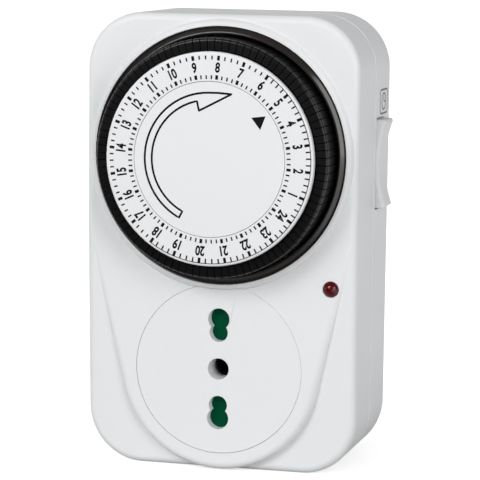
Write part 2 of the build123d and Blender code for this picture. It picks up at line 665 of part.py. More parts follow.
def segment():
    """One captive segment on the dial's +X side: a wedge-shaped head and a leg that runs in the comb."""
    half_angle = math.radians(PITCH_ANGLE / 2)
    edge = SEGMENT_GAP / 2 / math.cos(half_angle)
    corners = []
    for radius in (SEGMENT_INNER_R, SEGMENT_OUTER_R):
        half = radius * math.tan(half_angle) - edge
        corners.append([(radius, -half), (radius, half)])
    inner, outer = corners
    flat = make_face(closed(inner[0], outer[0], outer[1], inner[1]))
    head = slab(Pos(0, DIAL_Z) * flat, -SEGMENT_PROUD, SEGMENT_FOOT)
    rim = head.edges().group_by(Axis.Y)[0].sort_by(Axis.X)[-1]
    head = chamfer(rim, SEGMENT_BEVEL)
    half = LEG_WIDTH / 2
    leg = block(LEG_INNER_R, LEG_OUTER_R, SEGMENT_FOOT, LEG_END, DIAL_Z - half, DIAL_Z + half)
    return head + leg


def segment_groups():
    """Names each two-hour run of segments and places its copies round the dial."""
    pattern = segment()
    groups = {}
    for start in range(0, HOURS, HOURS_PER_GROUP):
        run = range(start * PER_HOUR, (start + HOURS_PER_GROUP) * PER_HOUR)
        name = f"segments_{start:02d}_{start + HOURS_PER_GROUP:02d}h"
        groups[name] = [about_dial(pattern, DIAL_PHASE + (n + 0.5) * PITCH_ANGLE) for n in run]
    return groups


# ---- gear train ----
def gear_plate():
    """Plate behind the dial that carries the arbor, the gear pin and the motor."""
    left, right = REDUCTION_X - PLATE_EDGE, LOW_EAR_X
    low, high = LOW_EAR_Z, EAR_Z + EAR_R
    middle = Pos((left + right) / 2, (low + high) / 2)
    flat = middle * RectangleRounded(right - left, high - low, PLATE_CORNER)
    flat += Pos(0, EAR_Z) * Rectangle(2 * EAR_X, 2 * EAR_R)
    for x in (-EAR_X, EAR_X):
        flat += Pos(x, EAR_Z) * Circle(EAR_R)
        flat -= Pos(x, EAR_Z) * Circle(SCREW_R + FIT)
    flat -= Pos(0, LOW_EAR_Z) * Rectangle(2 * LOW_EAR_X, PLATE_NOTCH)
    for x in (-LOW_EAR_X, LOW_EAR_X):
        flat += Pos(x, LOW_EAR_Z + PLATE_NOTCH / 4) * Rectangle(2 * EAR_R, PLATE_NOTCH / 2)
        flat += Pos(x, LOW_EAR_Z) * Circle(EAR_R)
        flat -= Pos(x, LOW_EAR_Z) * Circle(SMALL_SCREW_R + FIT)
    flat -= Pos(OUTPUT_X, OUTPUT_Z) * Circle(OUTPUT_SHAFT_R + RUNNING)
    plate = slab(flat, PLATE_NEAR, PLATE_FAR)
    plate += rod(SPACER_R, GEAR_FAR + END_PLAY, PLATE_NEAR, 0, DIAL_Z)
    plate -= rod(ARBOR_R, GEAR_FAR, PLATE_FAR + THROUGH, 0, DIAL_Z)
    return plate - rod(GEAR_PIN_R, PLATE_NEAR - THROUGH, PLATE_FAR + THROUGH, REDUCTION_X, REDUCTION_Z)


def plate_screws():
    tip = PLATE_FAR - SMALL_SCREW_LENGTH
    return [
        slotted_screw(SMALL_SCREW_R, SMALL_HEAD_R, tip, PLATE_FAR, SMALL_HEAD_THICK, x, LOW_EAR_Z)
        for x in (-LOW_EAR_X, LOW_EAR_X)
    ]


def reduction_gear():
    """Pinion in mesh with the dial gear and, behind it, the wheel that the motor drives."""
    x, z = REDUCTION_X, REDUCTION_Z
    half_tooth = 180 / PINION_TEETH
    near = GEAR_NEAR + END_PLAY
    sleeve_r = (PINION_TEETH / 2 - DEDENDUM) * GEAR_MODULE
    body = gear(PINION_TEETH, GEAR_MODULE, near, GEAR_FAR, x, z, REDUCTION_ANGLE + 180 + half_tooth)
    body += rod(sleeve_r, GEAR_FAR, PLATE_NEAR - END_PLAY, x, z)
    body += gear(WHEEL_TEETH, WHEEL_MODULE, WHEEL_NEAR, WHEEL_FAR, x, z, OUTPUT_ANGLE)
    return body - rod(GEAR_PIN_R + RUNNING, near - THROUGH, PLATE_NEAR, x, z)


def gear_pin():
    return rod(GEAR_PIN_R, GEAR_NEAR + END_PLAY, PLATE_FAR, REDUCTION_X, REDUCTION_Z)


def motor_output():
    """Output shaft of the geared motor with its pinion."""
    tooth_angle = OUTPUT_ANGLE + 180 + 180 / OUTPUT_TEETH
    pinion = gear(OUTPUT_TEETH, WHEEL_MODULE, WHEEL_NEAR, WHEEL_FAR, OUTPUT_X, OUTPUT_Z, tooth_angle)
    return pinion + rod(OUTPUT_SHAFT_R, WHEEL_FAR, GEARBOX_FAR - CAN_WALL - FIT, OUTPUT_X, OUTPUT_Z)


# ---- motor ----
def gearbox_case():
    """Round box between the plate and the motor can; the reduction inside it is a sealed unit."""
    case = rod(MOTOR_R, GEARBOX_NEAR, GEARBOX_FAR, MOTOR_X, MOTOR_Z)
    shaft_far = GEARBOX_FAR - CAN_WALL
    case -= rod(OUTPUT_SHAFT_R + RUNNING, GEARBOX_NEAR - THROUGH, shaft_far, OUTPUT_X, OUTPUT_Z)
    bearing_near = GEARBOX_FAR - 2 * CAN_WALL
    return case - rod(ROTOR_SHAFT_R + RUNNING, bearing_near, GEARBOX_FAR + THROUGH, MOTOR_X, MOTOR_Z)


def motor_can():
    can = rod(MOTOR_R, GEARBOX_FAR, CAN_FAR, MOTOR_X, MOTOR_Z)
    can = chamfer(can.edges().group_by(Axis.Y)[-1], CAN_WALL)
    can -= rod(MOTOR_R - CAN_WALL, GEARBOX_FAR - THROUGH, CAN_FAR - CAN_WALL, MOTOR_X, MOTOR_Z)
    return can - rod(ROTOR_SHAFT_R + RUNNING, CAN_FAR - 2 * CAN_WALL, CAN_FAR + THROUGH, MOTOR_X, MOTOR_Z)


def coil_bobbin():
    near, far = GEARBOX_FAR + FIT, CAN_FAR - CAN_WALL - FIT
    return turned(
        closed(
            (BOBBIN_INNER_R, near),
            (BOBBIN_OUTER_R, near),
            (BOBBIN_OUTER_R, near + BOBBIN_WALL),
            (BOBBIN_INNER_R + BOBBIN_WALL, near + BOBBIN_WALL),
            (BOBBIN_INNER_R + BOBBIN_WALL, far - BOBBIN_WALL),
            (BOBBIN_OUTER_R, far - BOBBIN_WALL),
            (BOBBIN_OUTER_R, far),
            (BOBBIN_INNER_R, far),
        ),
        MOTOR_X,
        MOTOR_Z,
    )


def coil_winding():
    near = GEARBOX_FAR + FIT + BOBBIN_WALL
    far = CAN_FAR - CAN_WALL - FIT - BOBBIN_WALL
    return tube(BOBBIN_OUTER_R - BOBBIN_WALL, BOBBIN_INNER_R + BOBBIN_WALL, near, far, MOTOR_X, MOTOR_Z)


def stator_poles():
    """Two rings of interleaved pole claws, one from each end of the can, round the rotor."""
    near, far = GEARBOX_FAR + FIT, CAN_FAR - CAN_WALL - FIT
    claw_flat = Pos((POLE_OUTER_R + POLE_INNER_R) / 2, 0) * Rectangle(POLE_THICK, POLE_WIDTH)
    rings = []
    for index, (root, tip) in enumerate(((near, far - POLE_GAP), (far, near + POLE_GAP))):
        ring_end = root + math.copysign(POLE_RING, tip - root)
        first, last = min(root, ring_end), max(root, ring_end)
        ring = tube(POLE_OUTER_R, POLE_INNER_R, first, last, MOTOR_X, MOTOR_Z)
        for claw in range(POLE_COUNT):
            angle = (claw + index / 2) * 360 / POLE_COUNT
            placed = Pos(MOTOR_X, MOTOR_Z) * Rot(0, 0, angle) * claw_flat
            ring += slab(placed, min(root, tip), max(root, tip))
        rings.append(ring)
    return rings


def rotor():
    magnet_near = GEARBOX_FAR + ROTOR_END_GAP
    magnet_far = CAN_FAR - CAN_WALL - ROTOR_END_GAP
    magnet = rod(ROTOR_R, magnet_near, magnet_far, MOTOR_X, MOTOR_Z)
    shaft_near = GEARBOX_FAR - 2 * CAN_WALL + FIT
    return magnet + rod(ROTOR_SHAFT_R, shaft_near, CAN_FAR, MOTOR_X, MOTOR_Z)


# ---- outlet ----
def keyhole(side, grow=0.0):
    """Slot of one live pole: the outer 16 A hole and the inner 10 A hole run together."""
    outer = Pos(0, SOCKET_Z + side * PITCH_16A / 2) * Circle(HOLE_16A_R + grow)
    inner = Pos(0, SOCKET_Z + side * PITCH_10A / 2) * Circle(HOLE_10A_R + grow)
    return outer + inner


def socket_insert():
    """Round face with its three openings, a skirt round the shutter and the earth hole's tube."""
    insert = rod(INSERT_R, 0, INSERT_FACE, 0, SOCKET_Z)
    insert += tube(SKIRT_R, SKIRT_R - SKIRT_WALL, INSERT_FACE, BLOCK_NEAR, 0, SOCKET_Z)
    insert += rod(EARTH_TUBE_R, INSERT_FACE, BLOCK_NEAR, 0, SOCKET_Z)
    insert -= rod(EARTH_HOLE_R, -THROUGH, BLOCK_NEAR + THROUGH, 0, SOCKET_Z)
    for side in (-1, 1):
        insert -= slab(keyhole(side), -THROUGH, INSERT_FACE + THROUGH)
    return insert


def shutter():
    """Two blades on a hub that turns on the earth hole's tube; at rest each blade closes a slot."""
    flat = Circle(SHUTTER_HUB_R)
    half = math.radians(SHUTTER_HALF_ANGLE)
    side_x = SHUTTER_R * math.sin(half)
    side_z = SHUTTER_R * math.cos(half)
    for side in (-1, 1):
        arc = ThreePointArc((-side_x, side * side_z), (0, side * SHUTTER_R), (side_x, side * side_z))
        edges = Polyline((side_x, side * side_z), (0, 0), (-side_x, side * side_z))
        flat += make_face(Curve() + [arc, edges])
    flat -= Circle(EARTH_TUBE_R + RUNNING)
    return slab(Pos(0, SOCKET_Z) * flat, SHUTTER_NEAR, SHUTTER_FAR)


def shutter_spring():
    """Coil round the earth tube between the shutter and the socket block."""
    middle = (SHUTTER_FAR + BLOCK_NEAR) / 2
    half = SPRING_WIRE / 2
    inner_r = EARTH_TUBE_R + SPRING_GAP
    return tube(inner_r + SPRING_WIRE, inner_r, middle - half, middle + half, 0, SOCKET_Z)


def socket_block():
    """Insulating block behind the insert with a guide for each pole's contact."""
    body = rod(SKIRT_R, BLOCK_NEAR, BLOCK_FAR, 0, SOCKET_Z)
    for side in (-1, 1):
        body -= slab(keyhole(side, CONTACT_WALL), CONTACT_NEAR, BLOCK_FAR + THROUGH)
        body -= slab(keyhole(side), BLOCK_NEAR - THROUGH, CONTACT_NEAR + THROUGH)
    body -= rod(EARTH_GRIP_R + CONTACT_WALL, CONTACT_NEAR, BLOCK_FAR + THROUGH, 0, SOCKET_Z)
    return body - rod(EARTH_HOLE_R + GUIDE_GAP, BLOCK_NEAR - THROUGH, CONTACT_NEAR, 0, SOCKET_Z)


def pole_sleeve(side):
    """Keyhole-shaped brass sleeve that grips either size of pin."""
    return slab(keyhole(side, CONTACT_WALL) - keyhole(side), CONTACT_NEAR, BLOCK_FAR)


def neutral_contact():
    """Sleeve and strap in one; the strap lies against the head of the neutral pin."""
    half = STRAP_WIDTH / 2
    low = SOCKET_Z - PITCH_16A / 2 - half
    high = SOCKET_Z - PITCH_10A / 2 + half
    return pole_sleeve(-1) + block(-half, half, STRAP_NEAR, STRAP_FAR, low, high)


def earth_contact():
    """Sleeve and strap in one; the strap lies against the head of the earth pin."""
    half = STRAP_WIDTH / 2
    sleeve = tube(EARTH_GRIP_R + CONTACT_WALL, EARTH_GRIP_R, CONTACT_NEAR, BLOCK_FAR, 0, SOCKET_Z)
    return sleeve + block(-half, half, STRAP_NEAR, STRAP_FAR, SOCKET_Z - half, SOCKET_Z + half)


def elbow(low, high, near, far):
    """Flat strap that rises on the middle line and turns right to the timer's contacts."""
    half = STRAP_WIDTH / 2
    reach = LEVER_X + LEVER_WIDTH / 2
    bend = high - STRAP_RUN
    points = [(-half, low), (half, low), (half, bend), (reach, bend), (reach, high), (-half, high)]
    return slab(make_face(closed(*points)), near, far)


def phase_contact():
    """Sleeve and the strap that feeds it from the timer's fixed contact."""
    low = SOCKET_Z + PITCH_10A / 2 - STRAP_WIDTH / 2
    return pole_sleeve(1) + elbow(low, PHASE_RUN_Z, STRAP_NEAR, STRAP_FAR)


def supply_strap():
    """Strap from the head of the phase pin to the timer's leaf."""
    low = SOCKET_Z + PITCH_16A / 2 - STRAP_WIDTH / 2
    return elbow(low, SUPPLY_RUN_Z, SUPPLY_NEAR, SUPPLY_FAR)


def insulating_sheet():
    """Sheet that keeps the supply strap off the phase contact's strap."""
    half = STRAP_WIDTH / 2 + SHEET_EDGE
    low = SOCKET_Z + PITCH_10A / 2 - half
    return block(-half, half, STRAP_FAR, SUPPLY_NEAR, low, PHASE_RUN_Z)


# ---- plug ----
def pin_carrier():
    """Insulating block that holds the three plug pins against the rear wall."""
    low = SOCKET_Z - PITCH_16A / 2 - CARRIER_MARGIN
    high = SOCKET_Z + PITCH_16A / 2 + CARRIER_MARGIN
    half = CARRIER_WIDTH / 2
    carrier = block(-half, half, HEAD_FAR, INNER_REAR, low, high)
    for z in pin_heights():
        carrier -= rod(PIN_CORE_R, HEAD_FAR - THROUGH, INNER_REAR + THROUGH, 0, z)
    return carrier


def plug_pin(z, strap_far, shoulder):
    """Round pin with a thinner shank, which is riveted over inside where it meets its strap."""
    pin = rod(PIN_R, shoulder, PIN_TIP, 0, z)
    pin = chamfer(pin.edges().group_by(Axis.Y)[-1], PIN_NOSE)
    pin += rod(PIN_CORE_R, HEAD_FAR, shoulder, 0, z)
    return pin + rod(PIN_HEAD_R, strap_far, HEAD_FAR, 0, z)


def pin_sleeves():
    """Insulating sleeves on the shanks of the two live pins."""
    low, _, high = pin_heights()
    return [tube(PIN_R, PIN_CORE_R, PIN_SEAT, SLEEVE_END, 0, z) for z in (low, high)]


# ---- indicator ----
def indicator_lens():
    """Domed red lens with a flange behind the front wall, hollow for the lamp."""
    dome_r = (LENS_R**2 + LENS_PROUD**2) / (2 * LENS_PROUD)
    half_way = math.asin(LENS_R / dome_r) / 2
    middle = (dome_r * math.sin(half_way), -LENS_PROUD + dome_r * (1 - math.cos(half_way)))
    dome = ThreePointArc((0, -LENS_PROUD), middle, (LENS_R, 0))
    bore_r = LAMP_R + FIT
    rest = Polyline(
        (LENS_R, 0),
        (LENS_R, lens_seat()),
        (LENS_FLANGE_R, lens_seat()),
        (LENS_FLANGE_R, LENS_DEPTH),
        (bore_r, LENS_DEPTH),
        (bore_r, LENS_FLOOR),
        (0, LENS_FLOOR),
        (0, -LENS_PROUD),
    )
    return turned(Curve() + [dome, rest], LENS_X, LENS_Z)


def neon_lamp():
    lamp = rod(LAMP_R, LENS_FLOOR + FIT, LAMP_END, LENS_X, LENS_Z)
    return chamfer(lamp.edges().group_by(Axis.Y)[0], LAMP_TIP)


def lamp_board():
    left, right = LENS_X - BOARD_WIDTH / 2, LENS_X + BOARD_WIDTH / 2
    high = LENS_Z + LAMP_R + BOARD_EDGE
    return block(left, right, LAMP_END, LAMP_END + BOARD_THICK, high - BOARD_HEIGHT, high)


def lamp_resistor():
    depth = LAMP_END + BOARD_THICK + RESISTOR_R
    half = RESISTOR_LENGTH / 2
    z = LENS_Z - BOARD_HEIGHT / 2
    return side_rod(RESISTOR_R, LENS_X - half, LENS_X + half, depth, z)


# ---- override rocker ----
def override_rocker():
    """Rocker with a hollowed finger face: both ends stand out and the middle is low."""
    low, high = ROCKER_Z - ROCKER_LENGTH / 2, ROCKER_Z + ROCKER_LENGTH / 2
    tip_x = SIDE_X + ROCKER_END_PROUD
    skirt_x = SIDE_X - ROCKER_SKIRT_IN
    face = ThreePointArc((tip_x, high), (SIDE_X + ROCKER_MID_PROUD, ROCKER_Z), (tip_x, low))
    rest = Polyline((tip_x, low), (skirt_x, low), (skirt_x, high), (tip_x, high))
    body = slab(make_face(Curve() + [face, rest]), ROCKER_NEAR, ROCKER_FAR)
    body = fillet(body.edges().filter_by(Axis.Y).group_by(Axis.X)[-1], ROCKER_END_R)
    body += rod(ROCKER_PIVOT_R + ROCKER_HUB_WALL, ROCKER_NEAR, ROCKER_FAR, PIVOT_X, ROCKER_Z)
    trunnion = ROCKER_SIDE_GAP + ROCKER_BASE_WALL
    body += rod(ROCKER_PIVOT_R, ROCKER_NEAR - trunnion, ROCKER_FAR + trunnion, PIVOT_X, ROCKER_Z)
    return body - side_rod(PLUNGER_R, PIVOT_X - PLUNGER_REACH, PIVOT_X + PLUNGER_SEAT, ROCKER_MID, ROCKER_Z)


def rocker_plunger():
    """Blunt-nosed plunger in the rocker; it presses the contact seesaw over."""
    plunger = side_rod(PLUNGER_R, PIVOT_X - PLUNGER_REACH, PIVOT_X + PLUNGER_SEAT, ROCKER_MID, ROCKER_Z)
    return chamfer(plunger.edges().group_by(Axis.X)[0], PLUNGER_NOSE)


def contact_seesaw():
    """Brass rocker strip that joins the middle terminal to one end terminal or the other."""
    half = SEESAW_LENGTH / 2
    strip = block(SEESAW_BACK_X, SEESAW_FACE_X, SEESAW_NEAR, SEESAW_FAR, ROCKER_Z - half, ROCKER_Z + half)
    strip += rod(FULCRUM_R, SEESAW_NEAR, SEESAW_FAR, SEESAW_BACK_X, ROCKER_Z)
    for z in seesaw_ends():
        strip += side_rod(RIVET_R, SEESAW_BACK_X - RIVET_THICK, SEESAW_BACK_X, ROCKER_MID, z)
    return strip


def seesaw_ends():
    """Heights of the seesaw's two rivets."""
    reach = SEESAW_LENGTH / 2 - RIVET_R
    return [ROCKER_Z - reach, ROCKER_Z + reach]


def rocker_base():
    """Box round the rocker's inner half; its side walls carry the rocker's trunnions."""
    half = ROCKER_LENGTH / 2 + ROCKER_END_GAP
    near = ROCKER_NEAR - ROCKER_SIDE_GAP
    far = ROCKER_FAR + ROCKER_SIDE_GAP
    wall = ROCKER_BASE_WALL
    outer_x = SIDE_X - WALL - FIT
    low, high = ROCKER_Z - half, ROCKER_Z + half
    box = block(ROCKER_FLOOR_X - wall, outer_x, near - wall, INNER_REAR, low - wall, high + wall)
    box -= block(ROCKER_FLOOR_X, outer_x + THROUGH, near, far, low, high)
    return box - rod(ROCKER_PIVOT_R + RUNNING, near - wall, far + wall, PIVOT_X, ROCKER_Z)


def rocker_terminals():
    """Middle terminal with its fulcrum, and an end terminal under each end of the seesaw."""
    face_x = ROCKER_FLOOR_X + STRAP_THICK
    low_z, high_z = seesaw_ends()
    strips = []
    for z in (low_z, ROCKER_Z, high_z):
        strip = block(ROCKER_FLOOR_X, face_x, SEESAW_NEAR, SEESAW_FAR, z - TERMINAL_HALF, z + TERMINAL_HALF)
        if z == ROCKER_Z:
            top_x = SEESAW_BACK_X - FULCRUM_R - FIT
            strip += block(face_x, top_x, SEESAW_NEAR, SEESAW_FAR, z - FULCRUM_HALF, z + FULCRUM_HALF)
        else:
            strip += side_rod(RIVET_R, face_x, face_x + TERMINAL_BUTTON, ROCKER_MID, z)
        strips.append(strip)
    return strips


# ---- timer contacts ----
def switch_base():
    """Insulating block against the front wall; it clamps the leaf and the fixed contact."""
    left, right = LEVER_X - BASE_SIDE, SIDE_X - WALL - FIT
    base = block(left, right, WALL + setback_at(BASE_Z), FIXED_FAR + BASE_CAP, BASE_Z, BASE_TOP_Z)
    half = LEVER_WIDTH / 2
    near = LEVER_PIVOT_DEPTH - LEVER_EAR_R
    far = LEVER_PIVOT_DEPTH + LEVER_EAR_R
    for x in (LEVER_X - half - FIT - EAR_THICK, LEVER_X + half + FIT):
        base += block(x, x + EAR_THICK, near, far, BASE_TOP_Z - THROUGH, LEVER_PIVOT_Z + LEVER_EAR_R)
    base -= side_rod(LEVER_PIN_R, left - THROUGH, right + THROUGH, LEVER_PIVOT_DEPTH, LEVER_PIVOT_Z)
    low, high = BASE_Z - THROUGH, BASE_TOP_Z + THROUGH
    for strip_near, strip_far in ((LEAF_NEAR, LEAF_FAR), (FIXED_NEAR, FIXED_FAR)):
        base -= block(LEVER_X - half, LEVER_X + half, strip_near, strip_far, low, high)
    return base


def follower_lever():
    """Lever hinged at the base, with a nose behind the segments' legs and a pad in front of the leaf."""
    nose_near = LEG_END + NOSE_GAP
    pad_far = LEAF_NEAR - FIT
    points = [
        (LEVER_NEAR, LEVER_PIVOT_Z),
        (LEVER_NEAR, NOSE_Z - NOSE_FOOT),
        (nose_near, NOSE_Z - NOSE_HALF),
        (nose_near, NOSE_Z + NOSE_HALF),
        (LEVER_NEAR, NOSE_Z + NOSE_END),
        (LEVER_FAR, NOSE_Z + NOSE_END),
        (LEVER_FAR, PAD_Z + PAD_FOOT_HALF),
        (pad_far, PAD_Z + PAD_HALF),
        (pad_far, PAD_Z - PAD_HALF),
        (LEVER_FAR, PAD_Z - PAD_FOOT_HALF),
        (LEVER_FAR, LEVER_PIVOT_Z),
    ]
    left, right = LEVER_X - LEVER_WIDTH / 2, LEVER_X + LEVER_WIDTH / 2
    lever = side_slab(points, left, right)
    lever += side_rod(LEVER_BOSS_R, left, right, LEVER_PIVOT_DEPTH, LEVER_PIVOT_Z)
    bore_r = LEVER_PIN_R + RUNNING
    return lever - side_rod(bore_r, left - THROUGH, right + THROUGH, LEVER_PIVOT_DEPTH, LEVER_PIVOT_Z)


def lever_pin():
    reach = LEVER_WIDTH / 2 + FIT + EAR_THICK
    return side_rod(LEVER_PIN_R, LEVER_X - reach, LEVER_X + reach, LEVER_PIVOT_DEPTH, LEVER_PIVOT_Z)


def moving_leaf():
    """Free part of the spring leaf, with its contact rivet."""
    half = LEVER_WIDTH / 2 - LEAF_SIDE
    leaf = block(LEVER_X - half, LEVER_X + half, LEAF_NEAR, LEAF_FAR, BASE_TOP_Z + LEAF_START, LEAF_TOP_Z)
    return leaf + rod(RIVET_R, LEAF_FAR, LEAF_FAR + RIVET_THICK, LEVER_X, RIVET_Z)


def leaf_terminal():
    """Root of the leaf, clamped in the base, with a tail that reaches back to the supply strap."""
    left, right = LEVER_X - LEVER_WIDTH / 2, LEVER_X + LEVER_WIDTH / 2
    foot_z = SUPPLY_RUN_Z - STRAP_RUN / 2
    tail = block(left, right, LEAF_NEAR, LEAF_FAR, foot_z, BASE_TOP_Z)
    return tail + block(left, right, LEAF_FAR, SUPPLY_NEAR, foot_z, foot_z + STRAP_THICK)


def fixed_contact():
    """Stiff strip behind the leaf, with the rivet that the leaf meets; its tail reaches the phase strap."""
    left, right = LEVER_X - LEVER_WIDTH / 2, LEVER_X + LEVER_WIDTH / 2
    foot_z = PHASE_RUN_Z - STRAP_RUN / 2
    strip = block(left, right, FIXED_NEAR, FIXED_FAR, foot_z, LEAF_TOP_Z)
    strip += block(left, right, FIXED_FAR, STRAP_NEAR, foot_z, foot_z + STRAP_THICK)
    return strip + rod(RIVET_R, FIXED_NEAR - RIVET_THICK, FIXED_NEAR, LEVER_X, RIVET_Z)


os.makedirs("parts", exist_ok=True)

save("front_shell", front_shell())
save("rear_shell", rear_shell())
save("housing_screws", *housing_screws())

save("dial_bezel", dial_bezel())
save("numeral_disc", numeral_disc())
save("centre_cap", centre_cap())
save("dial_arbor", dial_arbor())
save("dial_wheel", dial_wheel())
for group_name, group_solids in segment_groups().items():
    save(group_name, *group_solids)

save("gear_plate", gear_plate())
save("plate_screws", *plate_screws())
save("reduction_gear", reduction_gear())
save("gear_pin", gear_pin())
save("motor_output", motor_output())
save("gearbox_case", gearbox_case())
save("motor_can", motor_can())
save("coil_bobbin", coil_bobbin())
save("coil_winding", coil_winding())
save("stator_poles", *stator_poles())
save("rotor", rotor())

save("socket_insert", socket_insert())
save("shutter", shutter())
save("shutter_spring", shutter_spring())
save("socket_block", socket_block())
save("phase_contact", phase_contact())
save("neutral_contact", neutral_contact())
save("earth_contact", earth_contact())
save("supply_strap", supply_strap())
save("insulating_sheet", insulating_sheet())

pin_low, pin_middle, pin_high = pin_heights()
save("pin_carrier", pin_carrier())
save("neutral_pin", plug_pin(pin_low, STRAP_FAR, SLEEVE_END))
save("earth_pin", plug_pin(pin_middle, STRAP_FAR, PIN_SEAT))
save("phase_pin", plug_pin(pin_high, SUPPLY_FAR, SLEEVE_END))
save("pin_sleeves", *pin_sleeves())

save("indicator_lens", indicator_lens())
save("neon_lamp", neon_lamp())
save("lamp_board", lamp_board())
save("lamp_resistor", lamp_resistor())

save("override_rocker", override_rocker())
save("rocker_plunger", rocker_plunger())
save("contact_seesaw", contact_seesaw())
save("rocker_base", rocker_base())
save("rocker_terminals", *rocker_terminals())

save("switch_base", switch_base())
save("follower_lever", follower_lever())
save("lever_pin", lever_pin())
save("moving_leaf", moving_leaf())
save("leaf_terminal", leaf_terminal())
save("fixed_contact", fixed_contact())
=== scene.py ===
# %% [markdown]
# # A plug-in timer switch, dressed in Blender
# The solid model is already loaded as a fixed frame: every node of it sits at the origin with its place in
# its mesh. This lesson puts a smooth, detailed piece over each visible node, prints the dial, gives every
# surface a procedural finish and sets up the camera and a plain studio.
# Sizes are typed in millimetres, as a toolmaker would, and turned into metres by one small helper.

# %% Load the frame
import json
import math

import bmesh
import bpy
from mathutils import Matrix, Vector

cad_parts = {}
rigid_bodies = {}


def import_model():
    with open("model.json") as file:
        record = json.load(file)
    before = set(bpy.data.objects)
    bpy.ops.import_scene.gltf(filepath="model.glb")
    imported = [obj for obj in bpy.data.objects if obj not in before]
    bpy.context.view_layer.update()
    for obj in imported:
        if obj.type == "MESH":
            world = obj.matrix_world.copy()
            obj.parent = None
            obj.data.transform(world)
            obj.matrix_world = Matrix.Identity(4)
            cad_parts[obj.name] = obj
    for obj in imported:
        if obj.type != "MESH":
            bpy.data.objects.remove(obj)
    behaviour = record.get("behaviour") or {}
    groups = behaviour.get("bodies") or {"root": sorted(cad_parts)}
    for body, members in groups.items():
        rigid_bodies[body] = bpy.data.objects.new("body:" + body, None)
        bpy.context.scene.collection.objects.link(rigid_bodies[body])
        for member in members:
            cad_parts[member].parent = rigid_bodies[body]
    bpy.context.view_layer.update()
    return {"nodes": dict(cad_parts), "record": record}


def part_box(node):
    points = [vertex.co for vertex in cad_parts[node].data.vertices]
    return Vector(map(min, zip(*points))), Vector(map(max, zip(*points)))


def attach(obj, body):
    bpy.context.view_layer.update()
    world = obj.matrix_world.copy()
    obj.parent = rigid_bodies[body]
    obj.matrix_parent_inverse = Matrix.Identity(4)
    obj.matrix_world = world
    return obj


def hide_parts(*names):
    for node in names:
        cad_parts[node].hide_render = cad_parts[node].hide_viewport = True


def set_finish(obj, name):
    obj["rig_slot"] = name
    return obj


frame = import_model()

# %% [markdown]
# ## One way to say where things are
# "Depth" is counted rearwards from the front face, so what stands proud of the face has a negative depth.
# The frame's Y runs rearwards too, but starts half-way between the dial and the tips of the plug's pins.
# Two helpers turn millimetres into metres and a depth into a Y.

# %% Units and the main sizes
FRONT_Y = -22.9
WIDTH = 72.0
HEIGHT = 118.0
CORNER_R = 14.5
SPLIT = 19.0
REAR = 38.0
WALL = 2.2
DIAL_Z = 82.0
SOCKET_Z = 26.7
SHOULDER_Z = 62.0
SHIELD_R = 26.5


def mm(*values):
    """Millimetres to metres: one number, or a vector of three (x, depth, z)."""
    if len(values) == 1:
        return values[0] * 0.001
    x, depth, z = values
    return Vector((x, FRONT_Y + depth, z)) * 0.001


low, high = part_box("front_shell")
print("front shell from", [round(v, 4) for v in low], "to", [round(v, 4) for v in high])

# %% [markdown]
# ## Working by hand, in code
# An operator acts on whatever is selected, and a fresh file has everything selected. So each step starts by
# deselecting all and picking one object. Inside edit mode, vertices, edges or faces are picked by a question
# about their place or their normal, which is what the eye does when it works with a mouse.

# %% Selection helpers
TOUCHING = 1e-6  # metres; closer than this counts as the same place


def only(obj):
    """Selects one object and nothing else."""
    if bpy.context.object and bpy.context.object.mode != "OBJECT":
        bpy.ops.object.mode_set(mode="OBJECT")
    bpy.ops.object.select_all(action="DESELECT")
    obj.select_set(True)
    bpy.context.view_layer.objects.active = obj


def pick(obj, kind, question):
    """Goes into edit mode and selects the verts, edges or faces for which the question is true."""
    only(obj)
    bpy.ops.object.mode_set(mode="EDIT")
    bpy.ops.mesh.select_mode(type={"verts": "VERT", "edges": "EDGE", "faces": "FACE"}[kind])
    bpy.ops.mesh.select_all(action="DESELECT")
    mesh = bmesh.from_edit_mesh(obj.data)
    for item in getattr(mesh, kind):
        if question(item):
            item.select_set(True)
    mesh.select_flush_mode()
    bmesh.update_edit_mesh(obj.data)


def pick_all(obj):
    """Goes into edit mode with the whole mesh selected."""
    pick(obj, "verts", lambda vert: True)


def leave_edit():
    """Goes back to object mode, where objects are joined, cut and moved."""
    bpy.ops.object.mode_set(mode="OBJECT")


def done(obj, name=None):
    """Leaves edit mode and puts the object's place into its mesh."""
    only(obj)
    bpy.ops.object.transform_apply(location=True, rotation=True, scale=True)
    if name:
        obj.name = name
        obj.data.name = name
    return obj


def tidy_mesh(obj):
    """Merges doubles, drops edges that carry no face and turns every face outwards."""
    pick_all(obj)
    bpy.ops.mesh.remove_doubles(threshold=TOUCHING)
    bpy.ops.mesh.delete_loose(use_verts=True, use_edges=True, use_faces=False)
    bpy.ops.mesh.select_all(action="SELECT")
    bpy.ops.mesh.normals_make_consistent(inside=False)
    leave_edit()
    return obj


def add_modifier(obj, kind, **settings):
    """Adds a modifier and applies it at once."""
    only(obj)
    modifier = obj.modifiers.new(kind.title(), kind)
    for key, value in settings.items():
        setattr(modifier, key, value)
    bpy.ops.object.modifier_apply(modifier=modifier.name)
    return obj


def cut(obj, tool, operation="DIFFERENCE"):
    """Boolean with a tool object, which is then thrown away."""
    add_modifier(obj, "BOOLEAN", operation=operation, object=tool, solver="EXACT")
    bpy.data.objects.remove(tool, do_unlink=True)
    return obj


def join_all(objects, name=None):
    """Joins objects into the first one."""
    only(objects[0])
    for obj in objects:
        obj.select_set(True)
    bpy.ops.object.join()
    if name:
        objects[0].name = name
    return objects[0]


def divide(obj, place, normal, **thrown_away):
    """Divides a mesh along a plane; with clear_inner or clear_outer one side goes and the cut is closed."""
    pick_all(obj)
    bpy.ops.mesh.bisect(plane_co=place, plane_no=normal, use_fill=bool(thrown_away), **thrown_away)
    leave_edit()


